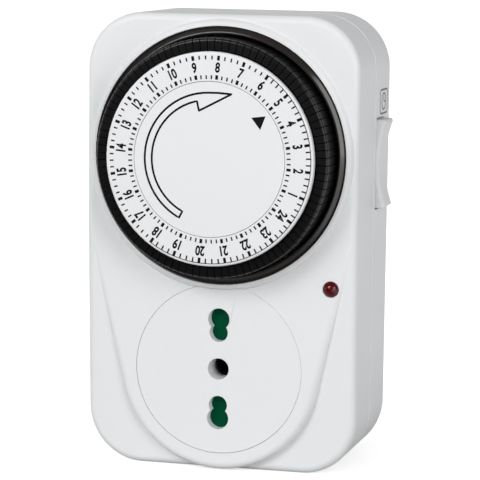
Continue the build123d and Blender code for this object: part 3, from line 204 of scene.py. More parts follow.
def tell(piece):
    """Prints a piece's name and how fine it is."""
    print(piece.name, len(piece.data.polygons), "faces")


def smooth(obj, degrees=32):
    """Smooth shading, broken only at real corners; large flat faces decide the normals beside them."""
    only(obj)
    bpy.ops.object.shade_smooth_by_angle(angle=math.radians(degrees))
    return add_modifier(obj, "WEIGHTED_NORMAL", keep_sharp=True)


print("selection helpers ready")

# %% [markdown]
# ## Three starting shapes
# Nearly every piece of a moulded timer starts as a bar, a block or a turned ring. The bar is Blender's
# cylinder laid along Y, the block its cube, and the ring is a single vertex that is extruded along a profile
# and spun round an axis. None of them is a finished piece: each is cut, bevelled or joined afterwards.

# %% Bars, blocks and turned rings
def bar(radius, near, far, x, z, sides=96):
    """Cylinder along Y between two depths."""
    bpy.ops.object.select_all(action="DESELECT")
    bpy.ops.mesh.primitive_cylinder_add(
        vertices=sides,
        radius=mm(radius),
        depth=mm(far - near),
        location=mm(x, (near + far) / 2, z),
        rotation=(math.pi / 2, 0, 0),
    )
    return done(bpy.context.object)


def block(x0, x1, near, far, z0, z1):
    """Box between two places on each axis."""
    bpy.ops.object.select_all(action="DESELECT")
    bpy.ops.mesh.primitive_cube_add(
        size=1,
        location=mm((x0 + x1) / 2, (near + far) / 2, (z0 + z1) / 2),
        scale=(mm(x1 - x0), mm(far - near), mm(z1 - z0)),
    )
    return done(bpy.context.object)


def traced(x, depth, z, points, as_step):
    """Extrudes one vertex from point to point and stays in edit mode with the whole line selected."""
    bpy.ops.object.select_all(action="DESELECT")
    bpy.ops.mesh.primitive_plane_add(size=mm(0.1), location=mm(x, depth, z))
    line = done(bpy.context.object)
    pick_all(line)
    bpy.ops.mesh.merge(type="CENTER")
    for last, here in zip(points, points[1:]):
        step = as_step(mm(here[0] - last[0]), mm(here[1] - last[1]))
        bpy.ops.mesh.extrude_region_move(TRANSFORM_OT_translate={"value": step})
    bpy.ops.mesh.select_all(action="SELECT")
    bpy.ops.mesh.remove_doubles(threshold=TOUCHING / 10)
    return line


def turned(profile, x, z, sides=128):
    """Ring or knob of revolution about Y, from (radius, depth) points of a closed outline."""
    radius, depth = profile[0]
    ring = traced(
        x + radius, depth, z, [*profile, profile[0]], lambda outwards, rearwards: (outwards, rearwards, 0)
    )
    bpy.ops.mesh.spin(steps=sides, angle=2 * math.pi, center=mm(x, 0, z), axis=(0, 1, 0))
    leave_edit()
    return tidy_mesh(ring)


def bevel_edges(obj, question, width, segments=4):
    """Bevels the edges picked by the question."""
    pick(obj, "edges", question)
    bpy.ops.mesh.bevel(offset=mm(width), segments=segments, affect="EDGES", profile=0.5)
    leave_edit()
    return obj


def soften(obj, width, segments=2, degrees=35):
    """Rounds every sharp edge of a finished piece a little, as moulding does."""
    return add_modifier(
        obj, "BEVEL", width=mm(width), segments=segments, limit_method="ANGLE",
        angle_limit=math.radians(degrees), use_clamp_overlap=True,
    )


print("helpers ready")

# %% [markdown]
# ## The housing's outline
# Seen from the front, the housing is a rectangle with large round corners. A cube is scaled to it and its
# four edges along Y are bevelled with many segments. The same block, made a wall's thickness smaller, later
# cuts the hollow.

# %% Outline block
def along_y(edge):
    """True for an edge that runs from front to rear."""
    run = edge.verts[1].co - edge.verts[0].co
    return abs(run.y) > 0.99 * run.length


def outline_block(inset, near, far, corner_segments=20):
    """Prism of the housing's outline, made smaller all round by the inset."""
    half = WIDTH / 2 - inset
    body = block(-half, half, near, far, inset, HEIGHT - inset)
    return bevel_edges(body, along_y, CORNER_R - inset, corner_segments)


def edges_at_depth(depth):
    """Question that is true for edges lying in the plane at a depth."""
    level = mm(0, depth, 0).y
    return lambda edge: all(abs(vert.co.y - level) < TOUCHING for vert in edge.verts)


print("outline:", WIDTH, "by", HEIGHT, "mm")

# %% [markdown]
# ## The raised face
# The face is as wide as the housing above the shoulders and narrows along two straight lines to a round
# foot. That outline is convex, so it is the convex hull of a round bar at the foot and the block above the
# shoulders. The hull's front edge is then bevelled, which rolls it over to the sides.

# %% Raised face
EDGE_R = 2.0
EDGE_STEPS = 6
SEAM_BEVEL = 0.55
TOP_STEP, FOOT_STEP = 0.15, 3.0  # set-back of the lower corners at the shoulders and at the foot
OVERLAP = 0.6  # the lower block reaches this far into the raised face


def shield_block(inset, near, far):
    """Prism of the raised face's outline: straight from the round foot to the shoulders."""
    rise, half = SHOULDER_Z - SOCKET_Z, WIDTH / 2
    touch = math.atan2(rise, half) - math.acos(SHIELD_R / math.hypot(half, rise))
    reach = SHIELD_R - inset - (half - inset) * math.cos(touch)
    shoulder = SOCKET_Z + reach / math.sin(touch)
    foot = bar(SHIELD_R - inset, near, far, 0, SOCKET_Z, sides=144)
    above = outline_block(inset, near, far)
    divide(above, mm(0, 0, shoulder), (0, 0, 1), clear_inner=True)
    join_all([foot, above])
    pick_all(foot)
    bpy.ops.mesh.convex_hull()
    bpy.ops.mesh.select_all(action="SELECT")
    bpy.ops.mesh.dissolve_limited(angle_limit=math.radians(0.3))
    leave_edit()
    return foot


def slope_at(z):
    """Set-back of the slanted lower corners at a height."""
    return TOP_STEP + (FOOT_STEP - TOP_STEP) * (SHOULDER_Z - z) / SHOULDER_Z


def lower_block(inset, edge):
    """Lower half behind the slanted plane, with its front edge rolled over."""
    body = outline_block(inset, -FOOT_STEP - 1, SPLIT)
    normal = Vector((0, -SHOULDER_Z, -(slope_at(0) - slope_at(SHOULDER_Z)))).normalized()
    divide(body, mm(0, slope_at(0) + inset, 0), normal, clear_outer=True)
    if edge:
        pick(body, "faces", lambda face: face.normal.y < -0.99)
        bpy.ops.mesh.region_to_loop()
        bpy.ops.mesh.bevel(offset=mm(edge), segments=EDGE_STEPS, affect="EDGES", profile=0.5)
        leave_edit()
        bevel_edges(body, edges_at_depth(SPLIT), SEAM_BEVEL, 1)
    divide(body, mm(0, 0, SHOULDER_Z + OVERLAP), (0, 0, 1), clear_outer=True)
    return body


def front_form(inset):
    """Outer form of the front half, or its hollow when inset by the wall."""
    raised = shield_block(inset, inset, SPLIT)
    if not inset:
        bevel_edges(raised, edges_at_depth(0), EDGE_R, EDGE_STEPS)
        bevel_edges(raised, edges_at_depth(SPLIT), SEAM_BEVEL, 1)
    return cut(raised, lower_block(inset, 0 if inset else EDGE_R), "UNION")


print("lower corners set back by", round(slope_at(0), 2), "mm at the foot")


# %% [markdown]
# ## Front shell
# The hollow is the same form made smaller. Then come the low collar round the dial, the seats of the dial's
# ring and the lamp's lens, the opening for the outlet and the posts that the screws go in. Cutting is done
# with booleans on closed bodies, because each tool is a simple bar or ring and the result stays watertight.
# A seat is cut before the narrower hole through it, which then takes the seat's floor away cleanly.

# %% Front shell
BEZEL_R, BEZEL_SEAT = 33.0, 1.2
COLLAR_R, COLLAR_TOP = 34.8, -1.3
SEAT_R, OPENING_R = BEZEL_R + 0.1, 31.6
INSERT_HOLE_R = 22.12
LENS_X, LENS_Z = 29.4, 49.0
LENS_HOLE_R, LENS_BOSS_R, LENS_BOSS_END = 2.1, 2.9, 3.12
ROUND = 160  # sides of every large circle of the face

front = front_form(0.0)
cut(front, front_form(WALL))
collar = turned(
    [(31.5, WALL), (31.5, 0.0), (SEAT_R, COLLAR_TOP), (33.6, COLLAR_TOP), (34.1, -1.05), (34.5, -0.55),
     (COLLAR_R, 0.05), (COLLAR_R, WALL)],
    0, DIAL_Z, sides=ROUND,
)
cut(front, collar, "UNION")
cut(front, bar(SEAT_R, -3, BEZEL_SEAT, 0, DIAL_Z, sides=ROUND))
cut(front, bar(OPENING_R, -3, 4, 0, DIAL_Z, sides=ROUND))
cut(front, bar(INSERT_HOLE_R, -1, 4, 0, SOCKET_Z, sides=ROUND))
cut(front, bar(LENS_BOSS_R, 1.1, LENS_BOSS_END, LENS_X, LENS_Z, sides=48), "UNION")
cut(front, bar(LENS_HOLE_R, -1, 6, LENS_X, LENS_Z, sides=48))
tell(front)

# %% Posts and the groove for the lip
EAR_X, EAR_Z = 27.0, 109.0
LOW_EAR_X, LOW_EAR_Z = 18.0, 48.0
SCREW_X, SCREW_Z = 26.0, 9.0
POST_R = 3.5
LIP_LENGTH = 1.6
LIP_GAP = 0.1

# each kind of post: near end, far end, radius of its hole and depth of the hole's tip
EAR_POST = (1.8, 16.0, 1.5, 8.0)
SCREW_POST = (3.2, 18.0, 1.5, 8.0)
LOW_EAR_POST = (1.6, 16.0, 1.1, 11.0)
for place_x, z, post in ((EAR_X, EAR_Z, EAR_POST), (SCREW_X, SCREW_Z, SCREW_POST),
                         (LOW_EAR_X, LOW_EAR_Z, LOW_EAR_POST)):
    near, far, hole_r, tip = post
    for x in (-place_x, place_x):
        cut(front, bar(POST_R, near, far, x, z, sides=32), "UNION")
        cut(front, bar(hole_r, tip, far + 1, x, z, sides=24))
groove = outline_block(WALL / 2, SPLIT - LIP_LENGTH - LIP_GAP, SPLIT + 1)
cut(groove, outline_block(WALL + 1, SPLIT - 3, SPLIT + 2))
cut(front, groove)
pick(front, "edges", lambda edge: edge.is_boundary)
bpy.ops.mesh.fill_holes(sides=4)
leave_edit()
tidy_mesh(front)
front.name = "front_moulding"
tell(front)

# %% [markdown]
# ## Rear shell
# A tray of the same outline. Its far edge is rolled over like the front's, and it carries a lip that slips
# into the front shell. It has four deep screw holes, three holes for the plug's pins and a window for the
# rocker. The two shells meet at a fine groove, which comes from a small flat bevel on each.

# %% Rear shell
ROCKER_Z = 79.3
ROCKER_NEAR, ROCKER_FAR = 21.5, 30.2
PIN_STEP = 13.0
PIN_SEAT = 37.2
PIN_HOLE_R, SUNK_RING_R = 2.05, 3.2
BOSS_R, HEAD_HOLE_R, SHANK_HOLE_R = 4.5, 2.9, 1.6
SCREW_PLACES = [(-EAR_X, EAR_Z), (EAR_X, EAR_Z), (-SCREW_X, SCREW_Z), (SCREW_X, SCREW_Z)]
WINDOW_HALF = 12.0

rear = outline_block(0, SPLIT, REAR)
bevel_edges(rear, edges_at_depth(REAR), EDGE_R, EDGE_STEPS)
bevel_edges(rear, edges_at_depth(SPLIT), SEAM_BEVEL, 1)
cut(rear, outline_block(WALL, SPLIT - 1, REAR - WALL))
lip = outline_block(WALL / 2 + LIP_GAP, SPLIT - LIP_LENGTH, SPLIT + 0.5)
cut(lip, outline_block(WALL, SPLIT - 3, SPLIT + 2))
cut(rear, lip, "UNION")
for x, z in SCREW_PLACES:
    cut(rear, bar(BOSS_R, 18, 36.5, x, z, sides=40), "UNION")
    cut(rear, bar(HEAD_HOLE_R, 28, REAR + 1, x, z, sides=40))
    cut(rear, bar(SHANK_HOLE_R, 17, 29, x, z, sides=24))
for step in (-1, 0, 1):
    cut(rear, bar(PIN_HOLE_R, 34, REAR + 1, 0, SOCKET_Z + step * PIN_STEP, sides=32))
    cut(rear, bar(SUNK_RING_R, PIN_SEAT, REAR + 1, 0, SOCKET_Z + step * PIN_STEP, sides=64))
window = block(
    32.8, 37, ROCKER_NEAR - 0.5, ROCKER_FAR + 0.2, ROCKER_Z - WINDOW_HALF, ROCKER_Z + WINDOW_HALF
)
cut(rear, window)
tidy_mesh(rear)
rear.name = "rear_moulding"
tell(rear)

# %% Finish of the two shells
for shell in (front, rear):
    smooth(shell)
    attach(shell, "housing")
    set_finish(shell, "white_housing")
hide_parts("front_shell")
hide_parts("rear_shell")
print("shells smoothed:", front.name, rear.name)

# %% [markdown]
# ## Dial ring
# The ring round the dial is clear smoked plastic, polished, so its shape shows only through reflections.
# It is turned from a profile whose rounded crest lies inside and whose top falls outwards in a plain slope,
# which mirrors a lamp as one even grey band. It has enough sides for a clean gleam.

# %% Dial ring
RING_IN = 31.0
FINE = 192  # sides of the ring and the dial, whose rims gleam
crest = [(31.07, -0.95), (31.22, -1.07), (31.42, -1.1), (31.62, -1.05)]
slope = [(32.92, -0.37), (BEZEL_R, -0.28), (BEZEL_R, BEZEL_SEAT)]
ring = turned([(RING_IN, BEZEL_SEAT), (RING_IN, -0.78), *crest, *slope], 0, DIAL_Z, sides=FINE)
ring.name = "smoked_ring"
smooth(ring)
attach(ring, "housing")
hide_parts("dial_bezel")
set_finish(ring, "smoky_plastic")
tell(ring)

# %% [markdown]
# ## Captive segments
# The 96 little keys are all alike, so one is made and copied. A cube is laid out as the key's head, its four
# long corners are pulled into a wedge, and its outer front edge is bevelled to catch the light. The leg
# behind it runs in the comb. Eight copies make one two-hour group, which moves as one body.

# %% One segment
DIAL_PHASE = -35.0
SEGMENTS = 96
PITCH = 360 / SEGMENTS
SEGMENT_IN, SEGMENT_OUT = 27.4, 30.4
KEY_FRONT, KEY_REAR = -9.3, 2.0
KEY_GAP = 0.1  # half the gap between two neighbours
KEY_ROUND = 0.8
LEG_IN, LEG_OUT, LEG_END, LEG_HALF = 27.9, 29.3, 8.0, 0.45

key = block(SEGMENT_IN, SEGMENT_OUT, KEY_FRONT, KEY_REAR, -1, 1)
half_step = math.radians(PITCH / 2)
pick_all(key)
mesh = bmesh.from_edit_mesh(key.data)
for vert in mesh.verts:
    half = vert.co.x * math.tan(half_step) - mm(KEY_GAP)
    vert.co.z = math.copysign(half, vert.co.z)
bmesh.update_edit_mesh(key.data)
leave_edit()
at_front = edges_at_depth(KEY_FRONT)
bevel_edges(
    key,
    lambda edge: at_front(edge) and all(vert.co.x > mm(SEGMENT_OUT) - TOUCHING for vert in edge.verts),
    KEY_ROUND, 5,
)
leg = block(LEG_IN, LEG_OUT, KEY_REAR, LEG_END, -LEG_HALF, LEG_HALF)
join_all([key, leg])
smooth(key, 40)
tell(key)


# %% Twelve groups of eight
def dial_turn(angle):
    """Matrix that turns a piece made on the +X side anticlockwise, seen from the front, round the dial."""
    return Matrix.Translation((0, 0, mm(DIAL_Z))) @ Matrix.Rotation(-math.radians(angle), 4, "Y")


HOURS, HOURS_PER_GROUP, PER_HOUR = 24, 2, 4
for start in range(0, HOURS, HOURS_PER_GROUP):
    copies = []
    for number in range(start * PER_HOUR, (start + HOURS_PER_GROUP) * PER_HOUR):
        one = key.copy()
        one.data = key.data.copy()
        bpy.context.collection.objects.link(one)
        one.data.transform(dial_turn(DIAL_PHASE + (number + 0.5) * PITCH))
        copies.append(one)
    label = f"{start:02d}_{start + HOURS_PER_GROUP:02d}h"
    group = join_all(copies, f"keys_{label}")
    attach(group, f"segments_{label}")
    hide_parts(f"segments_{label}")
    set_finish(group, "black_plastic")
bpy.data.objects.remove(key, do_unlink=True)
print("segment groups made")

# %% [markdown]
# ## Numeral disc and centre cap
# Both are flat white faces on one level, with a hairline gap between them: the disc turns with the dial and
# the cap stands still. They are turned from profiles with small roundings. Their faces lie a few hundredths
# behind the solid's face, so that the printed ink can stand on them and still be inside it.

# %% Disc and cap
DIAL_FACE = -11.2
INK = 0.03
FACE = DIAL_FACE + INK
DISC_BACK = -9.7
DISC_IN, DISC_R, CAP_R = 19.72, 27.1, 19.6
disc = turned(
    [(19.78, FACE), (DISC_IN, FACE + 0.06), (DISC_IN, DISC_BACK), (DISC_R, DISC_BACK), (DISC_R, FACE + 0.6),
     (27.06, FACE + 0.37), (26.92, FACE + 0.18), (26.73, FACE + 0.05), (26.5, FACE)],
    0, DIAL_Z, sides=FINE,
)
disc.name = "numeral_ring"
smooth(disc)
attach(disc, "dial")
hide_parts("numeral_disc")

STEM_R, STEM_HOLE_R, STEM_END = 5.5, 2.26, -5.65
cap = turned(
    [(0.0, FACE), (19.5, FACE), (19.58, FACE + 0.03), (CAP_R, FACE + 0.1), (CAP_R, DISC_BACK),
     (STEM_R, DISC_BACK), (STEM_R, STEM_END), (STEM_HOLE_R, STEM_END), (STEM_HOLE_R, DISC_BACK),
     (0.0, DISC_BACK)],
    0, DIAL_Z, sides=FINE,
)
cap.name = "fixed_cap"
smooth(cap)
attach(cap, "housing")
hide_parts("centre_cap")
for piece in (disc, cap):
    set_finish(piece, "white_dial")
    tell(piece)

# %% [markdown]
# ## Printing the dial
# Numerals are text objects turned into mesh. Ticks are one thin cube, copied. Everything printed is a few
# hundredths of a millimetre thick, which is about what screen-printed ink is. The numerals stand with their
# heads outwards and count up anticlockwise, so that the dial can turn clockwise under the fixed pointer.

# %% Numerals
NUMERAL_R = 23.1
NUMERAL_SIZE = 3.4
NUMERAL_SPACING = 0.96
NUMERAL_SQUEEZE = 0.72
STROKE_GAIN = 0.12  # thickens the font's strokes
numerals = []
for hour in range(1, HOURS + 1):
    bpy.ops.object.select_all(action="DESELECT")
    bpy.ops.object.text_add(location=(0, 0, 0))
    text = bpy.context.object
    text.data.body = str(hour)
    text.data.align_x = "CENTER"
    text.data.align_y = "CENTER"
    text.data.size = mm(NUMERAL_SIZE)
    text.data.space_character = NUMERAL_SPACING
    text.data.offset = mm(STROKE_GAIN)
    text.data.resolution_u = 4
    text.data.extrude = mm(INK / 2)
    bpy.ops.object.convert(target="MESH")
    text = bpy.context.object
    angle = DIAL_PHASE + hour * 360 / HOURS
    squeeze = Matrix.Diagonal((NUMERAL_SQUEEZE, 1, 1, 1))
    stand = Matrix.Rotation(math.pi / 2, 4, "X")
    out = Matrix.Translation((0, mm(0, DIAL_FACE + INK / 2, 0).y, mm(NUMERAL_R)))
    turn = Matrix.Rotation(math.radians(90 - angle), 4, "Y")
    place = Matrix.Translation((0, 0, mm(DIAL_Z))) @ turn @ out @ stand @ squeeze
    text.data.transform(place)
    text.matrix_world = Matrix.Identity(4)
    numerals.append(text)
hours_print = tidy_mesh(join_all(numerals, "hour_numerals"))
tell(hours_print)

# %% Ticks and the night arc
INNER_TICK, OUTER_TICK = (20.2, 21.3), (25.0, 26.2)
HOUR_TICK, QUARTER_TICK = 0.7, 0.36
QUARTER_SHORTER = 0.12
NIGHT_ENDS, NIGHT_STARTS = 6, 18
ARC_R, ARC_HALF = 26.35, 0.09
ticks = []
for number in range(SEGMENTS):
    on_hour = number % PER_HOUR == 0
    half = (HOUR_TICK if on_hour else QUARTER_TICK) / 2
    hour = number / PER_HOUR
    night = hour >= NIGHT_STARTS or hour <= NIGHT_ENDS
    shrink = 0.0 if on_hour else QUARTER_SHORTER
    for inner, outer in (INNER_TICK, OUTER_TICK):
        outer_ring = inner == OUTER_TICK[0]
        top = ARC_R if outer_ring and night else outer - shrink
        foot = inner + (shrink if outer_ring else 0.0)
        tick = block(foot, top, DIAL_FACE, FACE, -half, half)
        tick.data.transform(dial_turn(DIAL_PHASE + number * PITCH))
        ticks.append(tick)
tick_print = join_all(ticks, "quarter_ticks")
tell(tick_print)

# %% Night arc
arc = turned(
    [(ARC_R - ARC_HALF, DIAL_FACE), (ARC_R + ARC_HALF, DIAL_FACE), (ARC_R + ARC_HALF, FACE),
     (ARC_R - ARC_HALF, FACE)],
    0, DIAL_Z, sides=FINE,
)


def in_daytime(face):
    """True on the half of the dial from 6 to 18, where there is no arc."""
    middle = face.calc_center_median()
    angle = math.degrees(math.atan2(middle.z - mm(DIAL_Z), middle.x)) - DIAL_PHASE
    return NIGHT_ENDS < angle % 360 * HOURS / 360 < NIGHT_STARTS


pick(arc, "faces", in_daytime)
bpy.ops.mesh.delete(type="FACE")
pick(arc, "edges", lambda edge: edge.is_boundary)
bpy.ops.mesh.edge_face_add()
leave_edit()
arc.name = "night_arc"
for piece in (hours_print, tick_print, arc):
    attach(piece, "dial")
    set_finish(piece, "black_plastic")
tell(arc)

# %% [markdown]
# ## Arrow and pointer on the cap
# The arrow shows which way the dial turns. It is only an outline, so it is drawn with a pen: one vertex is
# extruded from point to point, the line is turned into a curve, and the curve's bevel gives it a round pen's
# thickness. Turned back into a mesh, it is pressed flat to the thickness of printed ink.

# %% A flat pen
CORNER_HOLD = 0.12
LONG_STRETCH = 1.2


def with_corners(first, stops):
    """Adds a point close to each end of every longer stretch, which keeps the pen's width at the corners."""
    last = Vector(first)
    for stop in stops:
        here = Vector(stop)
        hold = (here - last).normalized() * CORNER_HOLD
        if (here - last).length > LONG_STRETCH:
            yield last + hold
            yield here - hold
        yield here
        last = here


def pen_line(points, width, near, far, closed=True):
    """Line drawn along (x, z) points with a round pen and pressed flat between two depths."""
    middle = (near + far) / 2
    stops = points[1:] + points[:1] if closed else points[1:]
    path = [points[0], *with_corners(points[0], stops)]
    traced(path[0][0], middle, path[0][1], path, lambda across, up: (across, 0, up))
    leave_edit()
    bpy.ops.object.convert(target="CURVE")
    pen = bpy.context.object.data
    pen.bevel_depth = mm(width / 2)
    pen.bevel_resolution = 1
    pen.use_fill_caps = True
    bpy.ops.object.convert(target="MESH")
    line = bpy.context.object
    pick_all(line)
    bpy.ops.transform.resize(value=(1, (far - near) / width, 1), center_override=mm(0, middle, 0))
    leave_edit()
    return tidy_mesh(line)


def polar(radius, angle):
    """Point on the dial at a radius and an angle, in millimetres."""
    turn = math.radians(angle)
    return (radius * math.cos(turn), DIAL_Z + radius * math.sin(turn))


print("pen ready")

# %% Arrow and pointer
ARROW_IN, ARROW_OUT = 14.95, 16.8
SWELL_R, SWELL_ANGLE = 16.95, 83  # where the outer line starts to run out to the tip
TIP_R, TIP_ANGLE = 17.55, 71
BARB_R, BARB_ANGLE = 12.5, 102.5
TAIL_ANGLE = 243
ARROW_PEN = 0.6
STEP = 3
arrow_path = [polar(ARROW_OUT, angle) for angle in range(TAIL_ANGLE, 90, -STEP)]
arrow_path += [polar(SWELL_R, SWELL_ANGLE), polar(TIP_R, TIP_ANGLE)]
arrow_path += [polar(BARB_R, BARB_ANGLE), polar(ARROW_IN, BARB_ANGLE)]
arrow_path += [polar(ARROW_IN, angle) for angle in range(105, TAIL_ANGLE + 1, STEP)]
arrow = pen_line(arrow_path, ARROW_PEN, DIAL_FACE, FACE)
arrow.name = "turning_arrow"
tell(arrow)

# %% Pointer
POINTER_ANGLE, POINTER_TIP_R, POINTER_BASE_R, POINTER_HALF = 38, 18.5, 15.3, 1.9
tip = Vector(polar(POINTER_TIP_R, POINTER_ANGLE))
base = Vector(polar(POINTER_BASE_R, POINTER_ANGLE))
across = Vector((-(tip - base).y, (tip - base).x)).normalized() * POINTER_HALF
bpy.ops.object.select_all(action="DESELECT")
bpy.ops.mesh.primitive_circle_add(vertices=3, radius=mm(1), fill_type="NGON", rotation=(math.pi / 2, 0, 0))
pointer = done(bpy.context.object, "time_pointer")
for vert, place in zip(pointer.data.vertices, (tip, base + across, base - across)):
    vert.co = mm(place.x, DIAL_FACE + INK / 2, place.y)
add_modifier(pointer, "SOLIDIFY", thickness=mm(INK), offset=0)
tidy_mesh(pointer)
for piece in (arrow, pointer):
    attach(piece, "housing")
    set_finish(piece, "black_plastic")
tell(pointer)

# %% [markdown]
# ## Outlet
# The insert is a flat disc with a round earth hole and two keyhole slots, each made of two round holes that
# run together, so that plugs of both sizes fit. Their edges are softened slightly, and the gap round the
# insert is so narrow that it reads as a soft groove and not as a drawn line. Behind the slots turns the green
# shutter, whose blades close them until a plug pushes it aside.

# %% Outlet insert
STEP_16A, STEP_10A = 13.0, 9.5
HOLE_16A_R, HOLE_10A_R, EARTH_HOLE_R = 2.8, 2.4, 2.75
INSERT_GAP = 0.06
INSERT_THICK, RIM_END = 3.0, 6.6
RIM_IN, RIM_OUT, STUB_R = 19.0, 20.6, 3.7
HOLE_EDGE = 0.22
joint = INSERT_THICK - 0.1  # the rim and the stub start a little inside the plate

insert = bar(INSERT_HOLE_R - INSERT_GAP, 0, INSERT_THICK, 0, SOCKET_Z, sides=ROUND)
rim = turned(
    [(RIM_IN, joint), (RIM_OUT, joint), (RIM_OUT, RIM_END), (RIM_IN, RIM_END)], 0, SOCKET_Z, sides=96
)
cut(insert, rim, "UNION")
cut(insert, bar(STUB_R, joint, RIM_END, 0, SOCKET_Z, sides=64), "UNION")
cut(insert, bar(EARTH_HOLE_R, -1, 8, 0, SOCKET_Z, sides=64))
for side in (-1, 1):
    slot_tool = bar(HOLE_16A_R, -1, 4, 0, SOCKET_Z + side * STEP_16A, sides=64)
    cut(slot_tool, bar(HOLE_10A_R, -1, 4, 0, SOCKET_Z + side * STEP_10A, sides=64), "UNION")
    cut(insert, slot_tool)
tidy_mesh(insert)
at_face = edges_at_depth(0)
bevel_edges(
    insert, lambda edge: at_face(edge) and edge.calc_face_angle(0) > math.radians(30), HOLE_EDGE, 3
)
insert.name = "outlet_face"
smooth(insert)
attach(insert, "housing")
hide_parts("socket_insert")
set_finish(insert, "white_housing")
tell(insert)

# %% Shutter
SHUTTER_R, HUB_R, BORE_R = 17.4, 5.6, 3.76
SHUTTER_NEAR, SHUTTER_FAR = 3.1, 5.3
BLADE_HALF = 17.0  # half of each blade's angle
blades = bar(HUB_R, SHUTTER_NEAR, SHUTTER_FAR, 0, SOCKET_Z, sides=64)
lean = math.radians(BLADE_HALF)
for side in (-1, 1):
    blade = bar(SHUTTER_R, SHUTTER_NEAR, SHUTTER_FAR, 0, SOCKET_Z, sides=128)
    for hand in (-1, 1):
        normal = Vector((hand * math.cos(lean), 0, -side * math.sin(lean)))
        divide(blade, mm(0, 0, SOCKET_Z), normal, clear_outer=True)
    cut(blades, blade, "UNION")
cut(blades, bar(BORE_R, 2, 7, 0, SOCKET_Z, sides=64))
tidy_mesh(blades)
blades.name = "green_shutter"
soften(blades, 0.2)
smooth(blades)
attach(blades, "shutter")
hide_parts("shutter")
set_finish(blades, "green_plastic")
tell(blades)

# %% [markdown]
# ## Indicator lens
# A small dome of dark red clear plastic. It is turned with a real inside, because light goes in, bends and
# comes back, which is what makes the middle glow a little and the rim look almost black.

# %% Lens
LENS_R, DOME_HEIGHT = 2.0, 1.1
FLANGE_R, FLANGE_END = 2.9, 6.0
DOME_STEPS = 8
dome_r = (LENS_R**2 + DOME_HEIGHT**2) / (2 * DOME_HEIGHT)
dome = []
for step in range(DOME_STEPS + 1):
    lean = math.asin(LENS_R / dome_r) * step / DOME_STEPS
    dome.append((dome_r * math.sin(lean), -DOME_HEIGHT + dome_r * (1 - math.cos(lean))))
inside = [(1.5, FLANGE_END), (1.5, 1.4), (1.3, 0.9), (0.9, 0.7), (0.0, 0.7)]
lens = turned(
    [*dome, (LENS_R, 3.1), (FLANGE_R, 3.13), (FLANGE_R, FLANGE_END), *inside], LENS_X, LENS_Z, sides=64
)
lens.name = "red_lens_dome"
smooth(lens, 40)
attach(lens, "housing")
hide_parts("indicator_lens")
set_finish(lens, "red_lens")
tell(lens)

# %% [markdown]
# ## Override rocker
# The finger face is a long shallow hollow between two raised ends, and both its long edges are rounded. A
# block is divided across, its outer face is pulled into an arc, and the edges are bevelled.

# %% Rocker
ROCKER_HALF = 11.5
ROCKER_IN, ROCKER_TIP = 32.8, 38.9
ROCKER_ROUND = 1.3
SAG = 2.2  # depth of the hollow
SLICES = 24
PIVOT_X, PIVOT_HUB_R, PIVOT_R, PIVOT_REACH = 32.0, 2.3, 1.3, 1.6
SIDE_X = WIDTH / 2

rocker = block(
    ROCKER_IN, ROCKER_TIP, ROCKER_NEAR, ROCKER_FAR, ROCKER_Z - ROCKER_HALF, ROCKER_Z + ROCKER_HALF
)
for index in range(1, SLICES):
    divide(rocker, mm(0, 0, ROCKER_Z - ROCKER_HALF + 2 * ROCKER_HALF * index / SLICES), (0, 0, 1))
arc_r = (ROCKER_HALF**2 + SAG**2) / (2 * SAG)
for vert in rocker.data.vertices:
    if vert.co.x > mm(SIDE_X):
        rise = vert.co.z * 1000 - ROCKER_Z
        dip = SAG - (arc_r - math.sqrt(arc_r**2 - rise**2))
        vert.co.x = mm(ROCKER_TIP - dip)
bevel_edges(
    rocker,
    lambda edge: all(vert.co.x > mm(SIDE_X + 0.2) for vert in edge.verts) and len(edge.link_faces) == 2
    and edge.calc_face_angle(0) > math.radians(40),
    ROCKER_ROUND, 6,
)
cut(rocker, bar(PIVOT_HUB_R, ROCKER_NEAR, ROCKER_FAR, PIVOT_X, ROCKER_Z, sides=48), "UNION")
pivot = bar(PIVOT_R, ROCKER_NEAR - PIVOT_REACH, ROCKER_FAR + PIVOT_REACH, PIVOT_X, ROCKER_Z, sides=32)
cut(rocker, pivot, "UNION")
tidy_mesh(rocker)
rocker.name = "side_rocker"
smooth(rocker)
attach(rocker, "override_rocker")
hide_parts("override_rocker")
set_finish(rocker, "white_housing")
tell(rocker)

# %% [markdown]
# ## Clock sign on the side
# Above the rocker a thin line drawing of a clock in a frame marks its timed position. It is raised by a few
# hundredths, drawn with the same flat pen and then stood on the side wall.

# %% Clock sign
SIGN_DEPTH, SIGN_Z = 29.2, 95.15
SIGN_PEN, SIGN_RAISED = 0.5, 0.04
FRAME_HALF, FRAME_CORNER = (4.35, 3.1), 1.0
CLOCK_HALF = (2.3, 2.1)
LONG_HAND, SHORT_HAND = 1.4, 1.2


def on_side(points, name, closed=True):
    """Draws a pen line at the origin and moves it onto the right side wall."""
    line = pen_line(points, SIGN_PEN, 0, SIGN_RAISED, closed)
    turn = Matrix(((0, 1, 0, 0), (1, 0, 0, 0), (0, 0, 1, 0), (0, 0, 0, 1)))
    line.data.transform(Matrix.Translation((0, -mm(0, 0, 0).y, 0)))
    line.data.transform(turn)
    line.data.transform(Matrix.Translation((mm(SIDE_X), mm(0, SIGN_DEPTH, 0).y, mm(SIGN_Z))))
    line.name = name
    return tidy_mesh(line)


def ellipse(half_u, half_v, steps=28):
    """Points of an ellipse about the origin."""
    turns = [2 * math.pi * step / steps for step in range(steps)]
    return [(half_u * math.cos(turn), half_v * math.sin(turn)) for turn in turns]


